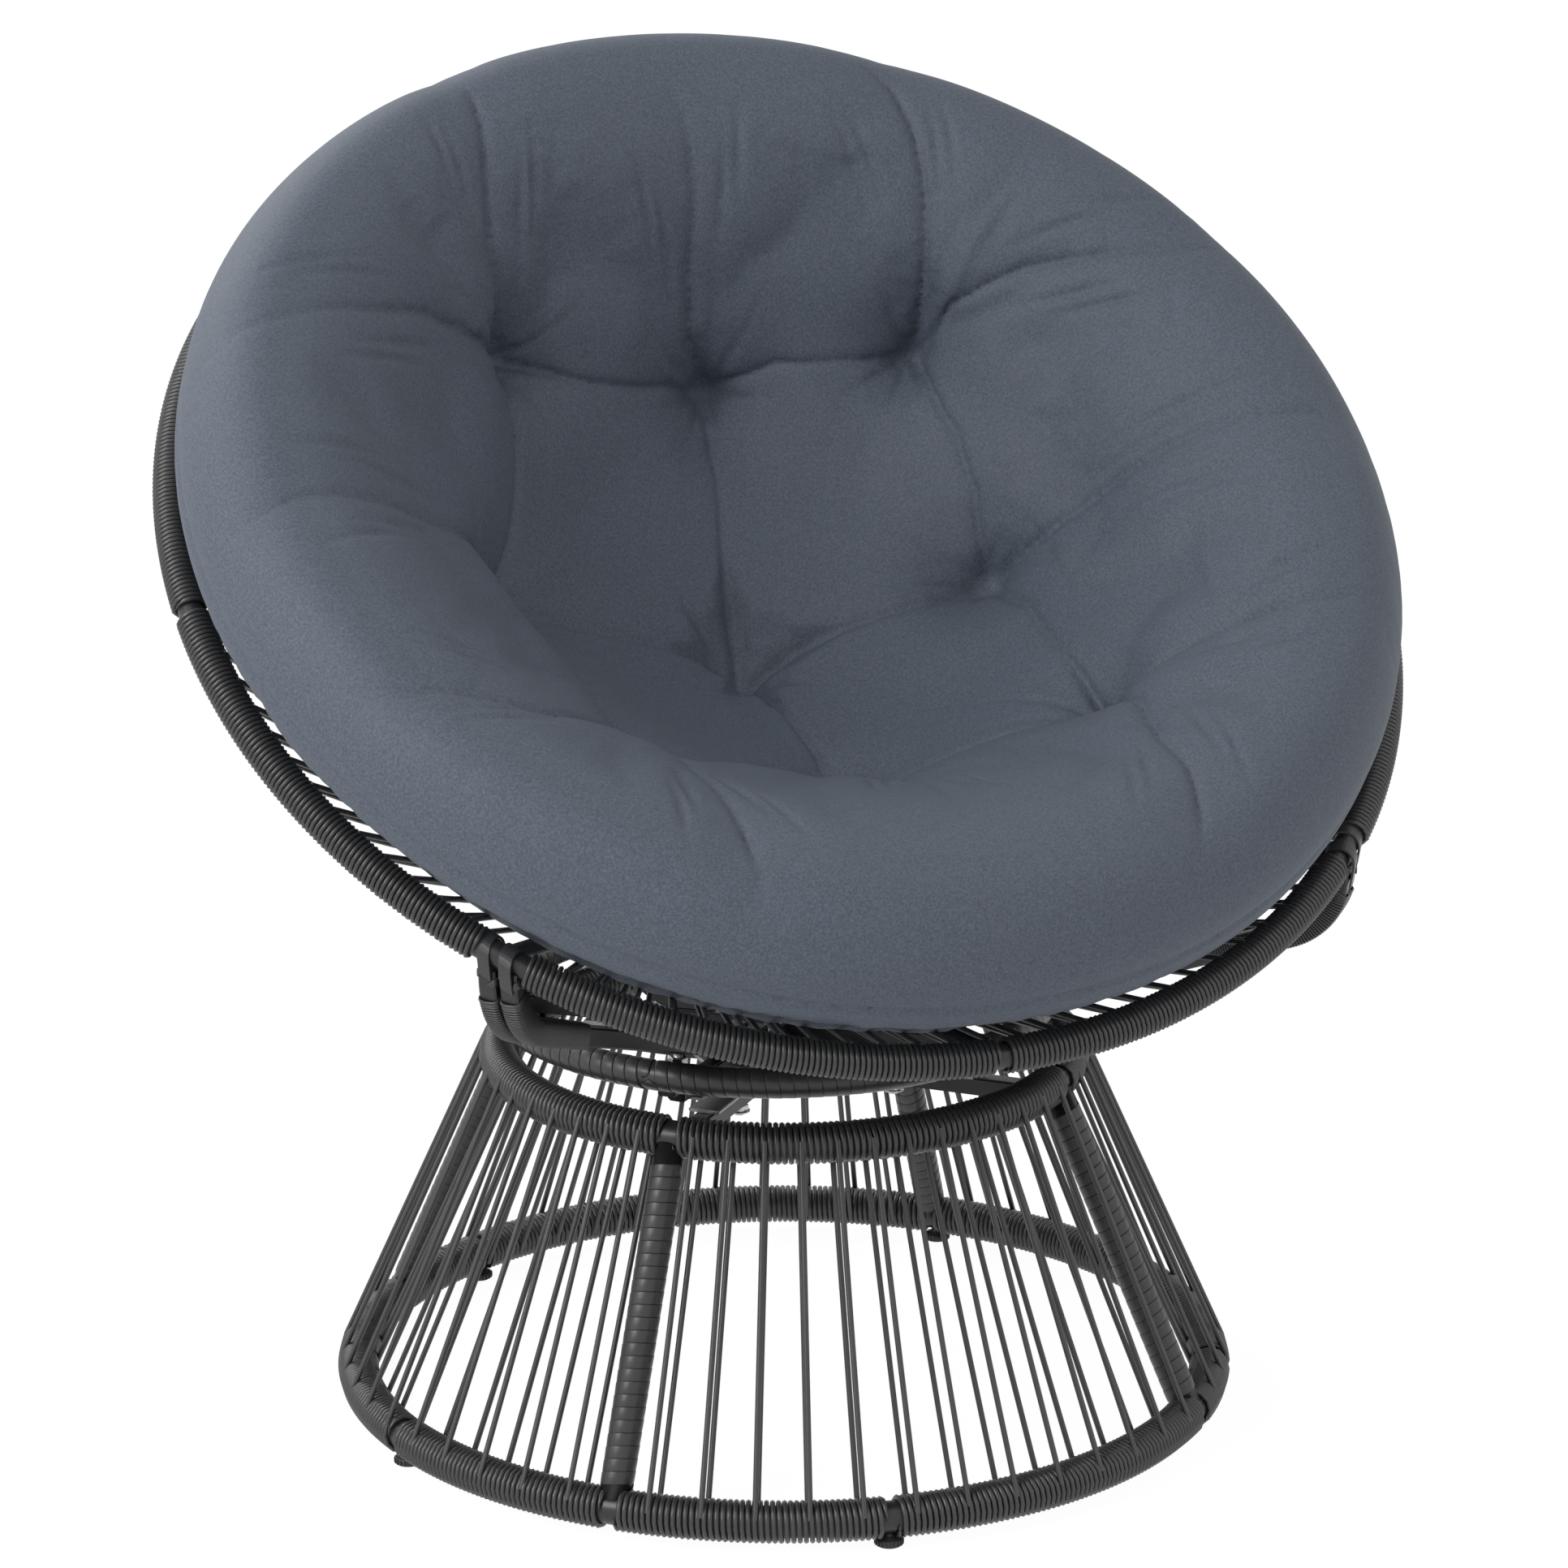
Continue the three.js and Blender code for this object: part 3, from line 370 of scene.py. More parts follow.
def swept_bar(path, width, thickness, bevel=0.0015):
    """A flat bar along a path of (reach, height) points in the XZ plane, as thick as a function of the share says."""
    rings = []
    for i, point in enumerate(path):
        before, after = Vector(path[max(i - 1, 0)]), Vector(path[min(i + 1, len(path) - 1)])
        along = (after - before).normalized()
        up = Vector((-along.y, along.x))
        half = thickness(i / (len(path) - 1)) / 2
        ring = []
        for x, y in ((-1, -1), (1, -1), (1, 1), (-1, 1)):
            corner = [(x * width / 2, y * (half - bevel)), (x * (width / 2 - bevel), y * half)]
            for across, above in corner if x * y > 0 else corner[::-1]:
                place = Vector(point) + up * above
                ring.append(Vector((place.x, across, place.y)))
        rings.append(ring)
    count = len(rings[0])
    points = [p for ring in rings for p in ring]
    faces = [tuple(range(count)), tuple(reversed(range(len(points) - count, len(points))))]
    for i in range(len(rings) - 1):
        a, b = i * count, (i + 1) * count
        faces += [(a + k, b + k, b + (k + 1) % count, a + (k + 1) % count) for k in range(count)]
    return closed_mesh(points, faces)


def rounded(corners, radius, steps=14):
    """A path of (reach, height) points with its corners rounded."""
    path = [Vector(corners[0])]
    for i in range(1, len(corners) - 1):
        corner = Vector(corners[i])
        back, ahead = (Vector(corners[i - 1]) - corner).normalized(), (Vector(corners[i + 1]) - corner).normalized()
        half = math.acos(back.dot(ahead)) / 2
        middle = corner + (back + ahead).normalized() * (radius / math.sin(half))
        start, end = corner + back * (radius / math.tan(half)), corner + ahead * (radius / math.tan(half))
        first = math.atan2(*(start - middle).yx)
        sweep = (math.atan2(*(end - middle).yx) - first + math.pi) % (2 * math.pi) - math.pi
        path += [middle + Vector((math.cos(first + sweep * k / steps), math.sin(first + sweep * k / steps))) * radius
                 for k in range(steps + 1)]
    return path + [Vector(corners[-1])]


def spaced(path, step):
    """The same path with points at even steps."""
    points = np.array([tuple(p) for p in path])
    lengths = np.r_[0, np.cumsum(np.linalg.norm(np.diff(points, axis=0), axis=1))]
    places = np.linspace(0, lengths[-1], max(2, round(lengths[-1] / step) + 1))
    return [Vector(p) for p in np.stack([np.interp(places, lengths, column) for column in points.T], 1)]


# Materials
def surface_tree():
    """Fine grain, slow patches and a wear mask, from a position."""
    tree, inlet, outlet = new_tree("Surface Detail", "ShaderNodeTree", {
        "Position": "vector", "Grain Scale": "float", "Patch Scale": "float", "Base": "color", "Worn": "color",
        "Roughness": "float", "Roughness Spread": "float"}, {
        "Color": "color", "Roughness": "float", "Height": "float"})
    grain = new_node(tree, "ShaderNodeTexNoise", {"Vector": inlet["Position"], "Scale": inlet["Grain Scale"],
                                                  "Detail": 3.0}).outputs[0]
    patch = new_node(tree, "ShaderNodeTexNoise", {"Vector": inlet["Position"], "Scale": inlet["Patch Scale"],
                                                  "Detail": 4.0, "Roughness": 0.6}).outputs[0]
    mask = new_node(tree, "ShaderNodeMapRange", {"Value": patch, "From Min": 0.35, "From Max": 0.7}).outputs[0]
    blend = new_node(tree, "ShaderNodeMix", {0: mask, 6: inlet["Base"], 7: inlet["Worn"]}, data_type="RGBA")
    tree.links.new(blend.outputs[2], outlet["Color"])
    spread = maths(tree, "MULTIPLY", maths(tree, "SUBTRACT", patch, 0.5), inlet["Roughness Spread"])
    tree.links.new(maths(tree, "ADD", inlet["Roughness"], spread), outlet["Roughness"])
    tree.links.new(grain, outlet["Height"])
    return tree


SURFACE = surface_tree()


def new_material(name):
    material = bpy.data.materials.new(name)
    material.use_nodes = True
    tree = material.node_tree
    shader = next(node for node in tree.nodes if node.type == "BSDF_PRINCIPLED")
    position = new_node(tree, "ShaderNodeTexCoord").outputs["Object"]
    return material, tree, shader, position


def detailed(name, base, worn, roughness, spread, grain_scale, patch_scale, bump, metallic=0.0, specular=0.5,
             coat=0.0):
    material, tree, shader, position = new_material(name)
    detail = new_node(tree, "ShaderNodeGroup", {
        "Position": position, "Grain Scale": grain_scale, "Patch Scale": patch_scale, "Base": (*base, 1),
        "Worn": (*worn, 1), "Roughness": roughness, "Roughness Spread": spread}, node_tree=SURFACE)
    raised = new_node(tree, "ShaderNodeBump", {"Height": detail.outputs["Height"], "Strength": bump,
                                               "Distance": 0.0004})
    tree.links.new(detail.outputs["Color"], shader.inputs["Base Color"])
    tree.links.new(detail.outputs["Roughness"], shader.inputs["Roughness"])
    tree.links.new(raised.outputs[0], shader.inputs["Normal"])
    shader.inputs["Metallic"].default_value = metallic
    shader.inputs["Specular IOR Level"].default_value = specular
    shader.inputs["Coat Weight"].default_value = coat
    shader.inputs["Coat Roughness"].default_value = 0.12
    return material


cord_finish = detailed("Charcoal cord", (0.031, 0.031, 0.032), (0.038, 0.038, 0.039), 0.36, 0.12, 900, 35, 0.25,
                       specular=0.6)
tape_finish = detailed("Charcoal tape", (0.030, 0.030, 0.031), (0.037, 0.037, 0.038), 0.38, 0.12, 700, 40, 0.2)
steel_finish = detailed("Black powder coat", (0.012, 0.012, 0.013), (0.016, 0.016, 0.017), 0.4, 0.08, 1400, 25, 0.15,
                        specular=0.5, coat=0.1)
zinc_finish = detailed("Zinc plate", (0.33, 0.33, 0.34), (0.42, 0.42, 0.42), 0.38, 0.2, 500, 60, 0.2, metallic=1.0)
bolt_finish = detailed("Bright bolt", (0.62, 0.62, 0.63), (0.7, 0.7, 0.7), 0.25, 0.1, 500, 90, 0.1, metallic=1.0)
plastic_finish = detailed("Moulded plastic", (0.02, 0.02, 0.02), (0.026, 0.026, 0.026), 0.5, 0.1, 900, 60, 0.2)
cloth_finish = detailed("Slate cloth", (0.050, 0.062, 0.083), (0.098, 0.119, 0.154), 0.68, 0.1, 1300, 520, 0.6)
SLOT_FINISHES = {"steel": steel_finish, "cord": cord_finish, "tape": tape_finish, "zinc": zinc_finish,
                 "glide": plastic_finish, "cloth": cloth_finish}


def named(stem, count):
    return [f"{stem}_{i + 1}" for i in range(count)]


# Stand: tubes, legs, windings and strands
low_place = CHAIR @ Matrix.Translation((0, 0, BASE_HEIGHT))
high_place = CHAIR @ Matrix.Translation((0, 0, TOP_HEIGHT))
piece("base_ring_tube", [(ring_mesh(BASE_RADIUS, STAND_TUBE), low_place)], "stand", "steel", "base_ring")
piece("top_ring_tube", [(ring_mesh(TOP_RADIUS, STAND_TUBE), high_place)], "stand", "steel", "top_ring")

stand_facing = math.atan2(BASE_RADIUS - TOP_RADIUS, TOP_HEIGHT - BASE_HEIGHT)


def ring_windings(radius, tube, pitch, gaps, gap_widths):
    """Windings between the gaps at the given angles round a ring."""
    parts = []
    for i, angle in enumerate(gaps):
        end = gaps[(i + 1) % len(gaps)] + (2 * math.pi if i == len(gaps) - 1 else 0)
        start_gap, end_gap = gap_widths[i] / 2 / radius, gap_widths[(i + 1) % len(gaps)] / 2 / radius
        parts.append(winding(arc(radius, angle + start_gap, end - end_gap), pitch, tube + CORD, cord_finish,
                             TURN_HEIGHT, TURN_SHARE * pitch))
    return parts


def strand_line(low, high, angle, side, facing):
    """The middle of a cord that is drawn tight between two wound rings, each (radius, height, tube)."""
    return [ring_point(radius + side * (tube + CORD) * math.cos(facing), angle,
                       height + side * (tube + CORD) * math.sin(facing)) for radius, height, tube in (low, high)]


# The winding also parts round each glide, except for the one that stands by a leg
base_gaps = sorted([(angle, STAND_GAP) for angle in LEG_ANGLES]
                   + [(GLIDE_ANGLES[i] % (2 * math.pi), GLIDE_GAP) for i in (0, 1, 2, 4)])
low_parts = ring_windings(BASE_RADIUS, STAND_TUBE, BASE_PITCH, *zip(*base_gaps))
high_parts = ring_windings(TOP_RADIUS, STAND_TUBE, TOP_PITCH, LEG_ANGLES, [STAND_GAP] * 4)
stand_low, stand_high = (BASE_RADIUS, 0, STAND_TUBE), (TOP_RADIUS, TOP_HEIGHT - BASE_HEIGHT, STAND_TUBE)
strand_angles = [leg + angle for leg in LEG_ANGLES
                 for angle in np.linspace(STRAND_START, math.pi / 2 - STRAND_START, STRANDS_PER_LEG)]
stand_lines = [strand_line(stand_low, stand_high, angle, side, stand_facing)
               for angle in strand_angles for side in (1, -1)]
stand_cord = [(mesh, low_place) for mesh in low_parts] + [(mesh, high_place) for mesh in high_parts]
piece("stand_cord", stand_cord + [(tubes(stand_lines, STRAND, 8, cord_finish), low_place)], "stand", "cord",
      *named("stand_weave", 8))

leg_steel, leg_tape = [], []
for angle in LEG_ANGLES:
    foot, head = ring_point(BASE_RADIUS, angle, BASE_HEIGHT), ring_point(TOP_RADIUS, angle, TOP_HEIGHT)
    length = (head - foot).length
    turn = (head - foot).to_track_quat("X", "Z").to_matrix().to_4x4()
    place = CHAIR @ Matrix.Translation(foot) @ turn
    profile = [(0, 0.006), (LEG_TUBE, 0.006), (LEG_TUBE, length - 0.006), (0, length - 0.006)]
    upright = Matrix.Rotation(math.pi / 2, 4, "Y")
    leg_steel.append((turned(profile, 32), place @ upright))
    line = [Vector((x, 0, 0)) for x in np.linspace(STAND_TUBE + 0.003, length - STAND_TUBE - 0.013, 30)]
    leg_tape.append((taped(line, LEG_TAPE_PITCH, LEG_TUBE, LEG_TAPE_HALF), place))
piece("stand_legs", leg_steel, "stand", "steel", *named("stand_leg", 4))
piece("stand_leg_tape", leg_tape, "stand", "tape", *named("stand_leg", 4))


# Swivel
PLATE_PROFILE = [(0, 0), (PLATE_RADIUS - 0.001, 0), (PLATE_RADIUS, 0.001), (PLATE_RADIUS, 0.0022),
                 (PLATE_RADIUS - 0.001, PLATE_THICKNESS), (0.066, PLATE_THICKNESS), (0, PLATE_THICKNESS)]


def swivel_plate(bottom, angles):
    """A round plate with crossed strips."""
    top = bottom + PLATE_THICKNESS
    strips = [(block(STRIP_LENGTH, STRIP_WIDTH, PLATE_THICKNESS, 0.0006), on_azimuth(a, height=top)) for a in angles]
    return [(turned(PLATE_PROFILE, 64), CHAIR @ Matrix.Translation((0, 0, bottom)))] + strips


piece("swivel_base_plate", swivel_plate(LOWER_PLATE_BOTTOM, LEG_ANGLES), "stand", "zinc", "swivel_lower_plate")

arm_top = BOWL @ ring_point(RIM_RADIUS, ARM_ANGLE)
arm_azimuth = math.atan2(arm_top.x, -(arm_top.y - AXIS_Y))
strut_top = BOWL @ ring_point(BOTTOM_RADIUS, STRUT_ANGLE, -BOWL_DEPTH)
strut_azimuth = math.atan2(strut_top.x, -(strut_top.y - AXIS_Y))
cradle_angles = [arm_azimuth, -arm_azimuth, strut_azimuth, -strut_azimuth]
piece("swivel_top_plate", swivel_plate(UPPER_PLATE_BOTTOM, cradle_angles), "seat", "zinc", "swivel_upper_plate")

cage_band = turned([(0, BALL_HEIGHT - 0.0008), (BALL_CIRCLE + 0.008, BALL_HEIGHT - 0.0008),
                    (BALL_CIRCLE + 0.008, BALL_HEIGHT + 0.0008), (0, BALL_HEIGHT + 0.0008)], 64)
balls = []
for i in range(8):
    ball = bmesh.new()
    bmesh.ops.create_icosphere(ball, subdivisions=2, radius=BALL_RADIUS)
    balls.append((taken(ball), CHAIR @ Matrix.Translation(ring_point(BALL_CIRCLE, i * math.pi / 4, BALL_HEIGHT))))
piece("ball_race_cage", [(cage_band, CHAIR), *balls], "ball_race", "zinc", "ball_cage")

pin = turned([(0, 0.281), (0.0085, 0.281), (0.010, 0.2825), (0.010, 0.284), (0.006, 0.284), (0.006, 0.2974),
              (0.010, 0.2974), (0.010, 0.299), (0.0085, 0.3004), (0, 0.3004)], 32)
piece("swivel_rivet", [(pin, CHAIR)], "stand", "zinc", "swivel_pin")


def crossed_bars(top, angles, reaches):
    return [(block(reach, BAR_SIZE, BAR_SIZE, 0.0015), on_azimuth(a, height=top)) for a, reach in zip(angles, reaches)]


piece("stand_cross", crossed_bars(CROSS_BAR_TOP, LEG_ANGLES, [TOP_RADIUS - 0.011] * 4), "stand", "steel",
      "stand_cross_bars")


def bolts(angles, reach, bottom, top, nut_bottom, nut_top):
    """Threads with a washer and a hexagon nut, upright at a reach."""
    parts = []
    for angle in angles:
        shank = turned([(0, bottom), (0.0038, bottom), (0.0038, top), (0, top)], 20)
        washer_top = nut_bottom + 0.0012
        washer = turned([(0, nut_bottom), (0.0085, nut_bottom), (0.0085, washer_top), (0, washer_top)], 32)
        nut = turned([(0, nut_bottom), (0.0068, nut_bottom), (0.0074, nut_bottom + 0.0008), (0.0074, nut_top - 0.0008),
                      (0.0066, nut_top), (0, nut_top)], 6)
        nut.polygons.foreach_set("use_smooth", [False] * len(nut.polygons))
        parts += [(mesh, CHAIR @ Matrix.Translation(ring_point(reach, angle))) for mesh in (shank, washer, nut)]
    return parts


piece("stand_bolts", bolts(LEG_ANGLES, *STAND_BOLT), "stand", "zinc", finish=bolt_finish)
piece("cradle_bolts", bolts(cradle_angles[:2], *CRADLE_BOLT), "seat", "zinc", finish=bolt_finish)


def cradle_reach(azimuth):
    ahead = -CRADLE_SETBACK * math.cos(azimuth)
    return ahead + math.sqrt(ahead ** 2 + CRADLE_RADIUS ** 2 - CRADLE_SETBACK ** 2)


cradle_bars = crossed_bars(CRADLE_BAR_TOP, cradle_angles, [cradle_reach(a) - 0.014 for a in cradle_angles])
cradle_bars += [(block(0.020, BAR_SIZE, 0.006, 0.001), on_azimuth(a, cradle_reach(a) - 0.018, height=CRADLE_BAR_TOP))
                for a in cradle_angles]
piece("cradle_cross", cradle_bars, "seat", "steel", "cradle_cross_bars")

cradle_place = CHAIR @ Matrix.Translation((0, CRADLE_SETBACK, CRADLE_HEIGHT))
cradle_tape = taped(arc(CRADLE_RADIUS, CRADLE_JOINT + 0.009, CRADLE_JOINT + 2 * math.pi - 0.009), CRADLE_TAPE_PITCH,
                    CRADLE_TUBE, CRADLE_TAPE_HALF)
piece("cradle_ring_tape", [(ring_mesh(CRADLE_RADIUS, CRADLE_TUBE), cradle_place), (cradle_tape, cradle_place)], "seat",
      "tape", "cradle_ring")

# Bowl
piece("bowl_rim_tube", [(ring_mesh(RIM_RADIUS, RIM_TUBE, 160), BOWL)], "seat", "steel", "bowl_rim")
bottom_place = BOWL @ Matrix.Translation((0, 0, -BOWL_DEPTH))
rib_angles = [i * math.pi / 4 for i in range(8)]
rib_gaps = [STRAP_GAP if i in (1, 7) else RIB_GAP for i in range(8)]
rim_cord = [(mesh, BOWL) for mesh in ring_windings(RIM_RADIUS, RIM_TUBE, RIM_PITCH, rib_angles, rib_gaps)]
piece("bowl_rim_cord", rim_cord, "seat", "cord")
bottom_cord = [(mesh, bottom_place) for mesh in
               ring_windings(BOTTOM_RADIUS, BOTTOM_TUBE, BOTTOM_PITCH, rib_angles, [RIB_GAP] * 8)]
piece("bowl_bottom_cord", bottom_cord, "seat", "cord")
piece("bowl_bottom_tube", [(ring_mesh(BOTTOM_RADIUS, BOTTOM_TUBE), bottom_place)], "seat", "steel", "bowl_bottom_ring")
rib_lines = [[ring_point(BOTTOM_RADIUS, a, -BOWL_DEPTH), ring_point(RIM_RADIUS, a, 0)] for a in rib_angles]
piece("bowl_ribs", [(tubes(rib_lines, RIB_RADIUS, 20, steel_finish), BOWL)], "seat", "steel", *named("bowl_rib", 8))

bowl_facing = math.atan2(BOTTOM_RADIUS - RIM_RADIUS, BOWL_DEPTH)
bowl_low, bowl_high = (BOTTOM_RADIUS, -BOWL_DEPTH, BOTTOM_TUBE), (RIM_RADIUS, 0, RIM_TUBE)
bowl_lines = []
rib_step = math.pi / 4 / STRANDS_PER_RIB
for k in range(8 * STRANDS_PER_RIB):
    for side, angle in ((1, (k + 0.25) * rib_step), (-1, (k + 0.75) * rib_step)):
        nearest = round(angle / (math.pi / 4)) % 8
        apart = abs((angle - nearest * math.pi / 4 + math.pi) % (2 * math.pi) - math.pi) * RIM_RADIUS
        if apart > rib_gaps[nearest] / 2 + CORD:
            bowl_lines.append(strand_line(bowl_low, bowl_high, angle, side, bowl_facing))
piece("bowl_strands", [(tubes(bowl_lines, STRAND, 8, cord_finish), BOWL)], "seat", "cord", *named("bowl_weave", 8))
spokes = [[ring_point(0.044, (i + 0.5) * math.pi / 6, -BOWL_DEPTH),
           ring_point(BOTTOM_RADIUS - BOTTOM_TUBE, (i + 0.5) * math.pi / 6, -BOWL_DEPTH)] for i in range(12)]
floor_ring = [ring_point(0.045, 2 * math.pi * i / 48, -BOWL_DEPTH) for i in range(49)]
piece("bowl_floor_cord", [(tubes([*spokes, floor_ring], CORD, 8, cord_finish), BOWL)], "seat", "cord",
      "bowl_floor_weave")

# Arms, struts and straps
elbow_reach = math.hypot(arm_top.x, arm_top.y - AXIS_Y)
elbow_height = ARM_FOOT_HEIGHT + (elbow_reach - ARM_FOOT_END) * math.tan(ARM_SLOPE)
arm_corners = [(ARM_FOOT_START, ARM_FOOT_HEIGHT), (ARM_FOOT_END, ARM_FOOT_HEIGHT), (elbow_reach, elbow_height),
               (elbow_reach, arm_top.z - RIM_TUBE)]
arm_path = (rounded(arm_corners[:3], ARM_FOOT_BEND)[:-1] + rounded(arm_corners[1:], ARM_ELBOW)[1:])
wrap_top = arm_top.z - RIM_TUBE - ARM_BARE_TOP
wrap_path = [Vector((WRAP_START, ARM_FOOT_HEIGHT + (WRAP_START - ARM_FOOT_END) * math.tan(ARM_SLOPE)))]
wrap_path += [p for p in rounded(arm_corners[1:], ARM_ELBOW)[1:-1] if p.y < wrap_top]
wrap_path.append(Vector((elbow_reach, wrap_top)))

stand_up = Matrix.Rotation(math.pi / 2, 4, "X")
arm_steel, arm_cord, arm_caps = [], [], []
for side in (-1, 1):
    for sideways in (-ARM_PITCH / 2, ARM_PITCH / 2):
        plane = on_azimuth(side * arm_azimuth, sideways=sideways)
        arm_steel.append((swept_bar(arm_path, ARM_WIDTH,
                                    lambda share: ARM_THICKNESS + (ARM_ROOT - ARM_THICKNESS) * share), plane))
        flat = [Vector((p.x, p.y, 0)) for p in spaced(wrap_path, 0.004)]
        arm_cord.append((winding(flat, 0.0021, WRAP_HEIGHT / 2 - 0.001, cord_finish, 0.001, 0.001,
                                 sideways=WRAP_WIDTH / 2 - 0.001, corner=0.45, steps=20, sides=5), plane @ stand_up))
        cap = [Vector((elbow_reach, wrap_top + 0.0085 + 0.003 * i, 0)) for i in range(4)]
        arm_caps.append((winding(cap, 0.006, ARM_ROOT / 2 + 0.0008, tape_finish, 0.0008, 0.0034,
                                 sideways=ARM_WIDTH / 2 + 0.0008, corner=0.4, edge=0.5, steps=24, sides=8),
                         plane @ stand_up))
piece("saddle_arm_bars", arm_steel, "seat", "steel", *named("saddle_arm", 4))
piece("saddle_arm_cord", arm_cord, "seat", "cord", *named("saddle_arm", 4))
piece("saddle_arm_tape", arm_caps, "seat", "tape", *named("saddle_arm", 4))

strut_reach = math.hypot(strut_top.x, strut_top.y - AXIS_Y)
strut_path = rounded([(ARM_FOOT_START, ARM_FOOT_HEIGHT), (ARM_FOOT_END, ARM_FOOT_HEIGHT), (strut_reach, strut_top.z)],
                     ARM_FOOT_BEND)
struts = [(swept_bar(strut_path, BAR_SIZE, lambda share: ARM_THICKNESS), on_azimuth(side * strut_azimuth))
          for side in (-1, 1)]
piece("rear_struts", struts, "seat", "steel", *named("rear_strut", 2))


def strap_mesh(side, sideways):
    """A flat strap over the rim tube and down both faces of an arm, as a sheared band."""
    azimuth = side * arm_azimuth
    outward = Vector((math.sin(azimuth), -math.cos(azimuth), 0))
    level = Vector((math.cos(azimuth), math.sin(azimuth), 0))
    tangent = (BOWL.to_3x3() @ Vector((math.cos(ARM_ANGLE), side * math.sin(ARM_ANGLE), 0))).normalized()
    along = tangent - outward * tangent.dot(outward)
    along /= tangent.dot(level)
    half = ARM_ROOT / 2 + 0.0003
    roof = (RIM_TUBE + 0.0003) * along.length
    line = [Vector((-half, -STRAP_LENGTH)), Vector((-roof, -0.002))]
    line += [Vector((-roof * math.cos(a), roof * math.sin(a))) for a in np.linspace(0, math.pi, 17)]
    line += [Vector((roof, -0.002)), Vector((half, -STRAP_LENGTH))]
    points, faces = [], []
    centre = Vector((side * arm_top.x, arm_top.y, arm_top.z)) + along * sideways
    for i, point in enumerate(line):
        before, after = line[max(i - 1, 0)], line[min(i + 1, len(line) - 1)]
        normal = Vector((-(after - before).y, (after - before).x)).normalized()
        for depth in (0, STRAP_THICKNESS):
            for across in (-STRAP_WIDTH / 2, STRAP_WIDTH / 2):
                x, z = point + normal * depth
                points.append(centre + outward * x + Vector((0, 0, z)) + along * across)
    for i in range(len(line) - 1):
        a = 4 * i
        for p, q in ((0, 1), (1, 3), (3, 2), (2, 0)):
            faces.append((a + p, a + q, a + 4 + q, a + 4 + p))
    faces += [(0, 2, 3, 1), tuple(4 * (len(line) - 1) + k for k in (0, 1, 3, 2))]
    return closed_mesh(points, faces)


strap_meshes = [(strap_mesh(side, sideways), Matrix.Identity(4))
                for side in (-1, 1) for sideways in (-ARM_PITCH / 2, ARM_PITCH / 2)]
piece("rim_straps", strap_meshes, "seat", "tape", *named("rim_strap", 4))

# Levelling glides with ribbed feet
for i, angle in enumerate(GLIDE_ANGLES):
    low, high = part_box(f"glide_foot_{i + 1}")
    middle = (low + high) / 2
    parts = [(turned([(0, 0), (0.0095, 0), (0.0108, 0.001), (0.0108, 0.005), (0.0098, 0.0059), (0.0052, 0.0075),
                      (0.0045, 0.009), (0.0045, 0.0102), (0.004, 0.0102), (0.004, 0.02), (0, 0.02)], 40),
              Matrix.Translation((middle.x, middle.y, 0)))]
    for k in range(20):
        rib = block(0.0012, 0.0014, 0.0042, 0.0003)
        parts.append((rib, Matrix.Translation((middle.x, middle.y, 0.0052))
                      @ Matrix.Rotation(k * math.pi / 10, 4, "Z") @ Matrix.Translation((0.0104, 0, 0))))
    piece(f"glide_{i + 1}", parts, f"levelling_foot_{i + 1}", "glide", f"glide_foot_{i + 1}")


# Cushion, in the tilted frame of the bowl
DISH = [(0, -0.150), (0.068, -0.131), (0.131, -0.110), (0.189, -0.083), (0.240, -0.030), (0.300, 0.047),
        (0.344, 0.102), (0.378, 0.134), (0.407, 0.149), (0.436, 0.154), (0.462, 0.139), (0.481, 0.108), (0.484, 0.071),
        (0.477, 0.038), (0.462, 0.012)]
ROLL_SHIFT = (-0.018, -0.015)
FOLD_SHARE, VALLEY_WIDTH = 0.8, 0.036
TUFT_DEPTH, TUFT_WIDTH = 0.030, 0.046
PAD_LIFT, ROLL_ALLOWANCE = -0.004, 0.004
CLOTH_FRAMES, PAD_LIMIT, ROLL_LIMIT = 18, 0.016, 0.004
FRONT_FILL, FILL_RADIUS, FILL_WIDTH, FILL_AZIMUTH = 0.045, 0.25, 0.10, math.radians(-20)
# Tufts and folds on the plan, in millimetres
TUFTS = {"A": (-153, 210), "B": (19, 213), "C": (165, 194), "D": (186, 23), "E": (-6, -9),
         "F": (182, -172), "G": (0, -175), "H": (-170, -165), "I": (-214, 18)}
